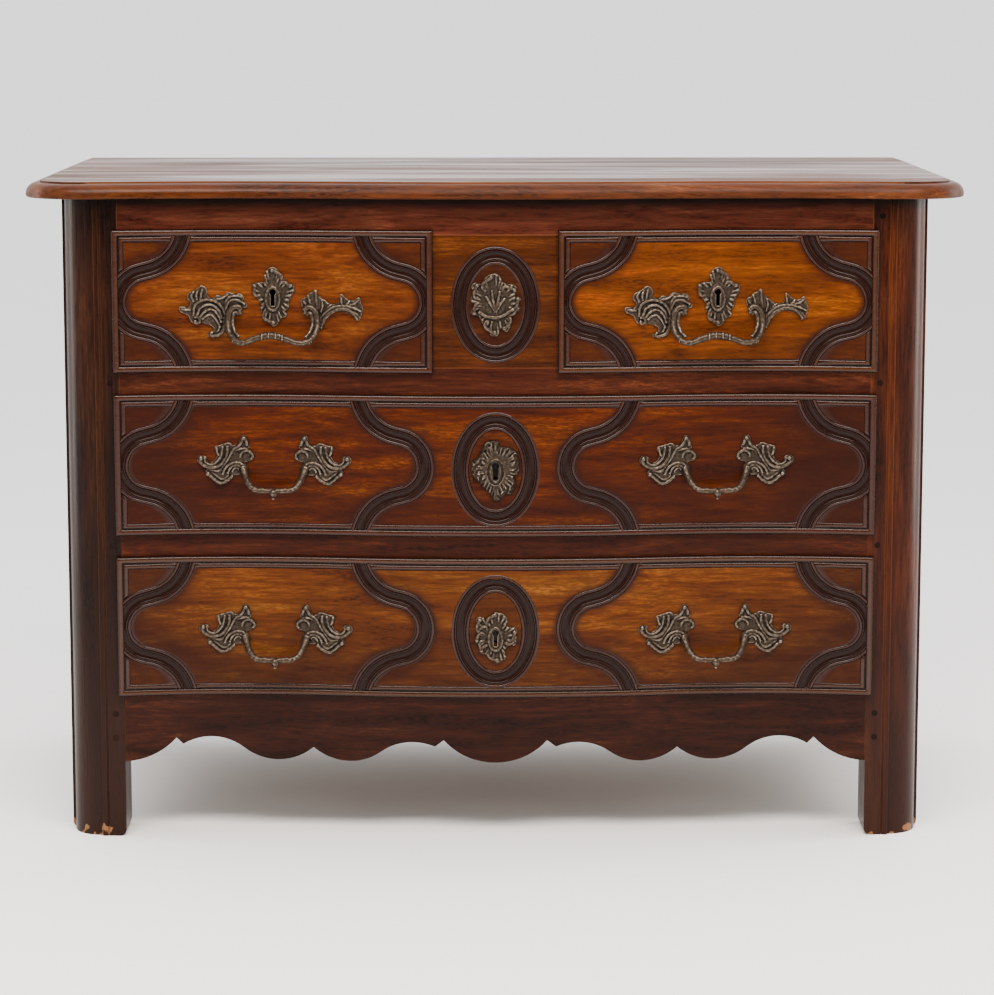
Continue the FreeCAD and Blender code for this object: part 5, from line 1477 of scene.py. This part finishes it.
# %% [markdown]
# ## Studio
#
# The photograph was made on a white ground that runs up behind the chest. Polished wood mirrors what
# stands around it: white behind and above gives the top its pale sheen, while a dark room in front
# keeps the colour of the drawer fronts deep. Near the horizon the wall is as bright as the floor, so
# that no line shows between them.
# %% Floor and room
FLOOR_SIZE = (40, 36, 1)
FLOOR_BACK = 12
DARK_ROOM = 0.12
WHITE_WALL = 2.6
HORIZON_SHARE = 0.652
# Where the wall brightens, as parts of a unit direction: upward from the horizon, and from front to back
HORIZON = (0.02, 0.10)
FRONT_TO_BACK = (-0.8, 0.1)

bm = bmesh.new()
bmesh.ops.create_grid(bm, x_segments=1, y_segments=1, size=0.5)
bmesh.ops.scale(bm, verts=bm.verts, vec=FLOOR_SIZE)
bmesh.ops.translate(bm, verts=bm.verts, vec=(0, FLOOR_BACK, 0))
mesh = bpy.data.meshes.new("studio_floor")
bm.to_mesh(mesh)
bm.free()
paper, _, shader = new_material("paper_white_matt")
shader.inputs["Base Color"].default_value = linear("#f2f2f2")
shader.inputs["Roughness"].default_value = 0.9
shader.inputs["Specular IOR Level"].default_value = 0.1
mesh.materials.append(paper)
floor = bpy.data.objects.new("studio_floor", mesh)
bpy.context.scene.collection.objects.link(floor)

room = bpy.data.worlds.new("studio_room")
room.use_nodes = True
tree = room.node_tree
toward = add(tree, "TexCoord").outputs["Generated"]
parts = add(tree, "SeparateXYZ", None, {0: toward})
rise = {0: parts.outputs["Z"], 1: HORIZON[0], 2: HORIZON[1], 3: HORIZON_SHARE, 4: 1.0}
sweep = {0: parts.outputs["Y"], 1: FRONT_TO_BACK[0], 2: FRONT_TO_BACK[1], 3: DARK_ROOM, 4: WHITE_WALL}
low, wall = [add(tree, "MapRange", None, reach).outputs[0] for reach in (rise, sweep)]
brightness = add(tree, "Math", {"operation": "MULTIPLY"}, {0: wall, 1: low}).outputs[0]
tree.links.new(brightness, tree.nodes["Background"].inputs["Strength"])
tree.nodes["Background"].inputs["Color"].default_value = linear("#ffffff")
bpy.context.scene.world = room
print("floor", FLOOR_SIZE[0], "m wide")

# %% [markdown]
# A wide soft box above the front draws the highlights of the beads and the mouldings, two weak ones
# beside the camera fill the shadows, and a tall strip at each side runs down the columns of the stiles.
# %% Lights
def soft_box(name, place, target, size, power):
    """Rectangular light that looks at a target; size in metres, power in watts."""
    light = bpy.data.lights.new(name, "AREA")
    light.shape = "RECTANGLE"
    light.size, light.size_y = size
    light.energy = power
    light.color = linear("#fff3e8")[:3]
    lamp = bpy.data.objects.new(name, light)
    lamp.location = place
    lamp.visible_camera = False
    lamp.rotation_euler = (Vector(target) - Vector(place)).to_track_quat("-Z", "Y").to_euler()
    bpy.context.scene.collection.objects.link(lamp)


soft_box("soft_box_left", (-2.6, -3.2, 1.6), (0, 0, 0.5), (1.6, 1.6), 20)
soft_box("soft_box_right", (2.6, -3.2, 1.6), (0, 0, 0.5), (1.6, 1.6), 28)
soft_box("soft_box_top", (0, -1.9, 2.7), (0, 0, 0.5), (2.6, 1.0), 180)
soft_box("strip_box_left", (-1.9, 0.1, 0.85), (-0.55, -0.25, 0.6), (0.4, 1.4), 16)
soft_box("strip_box_right", (1.9, 0.1, 0.85), (0.55, -0.25, 0.6), (0.4, 1.4), 24)
print("studio ready")
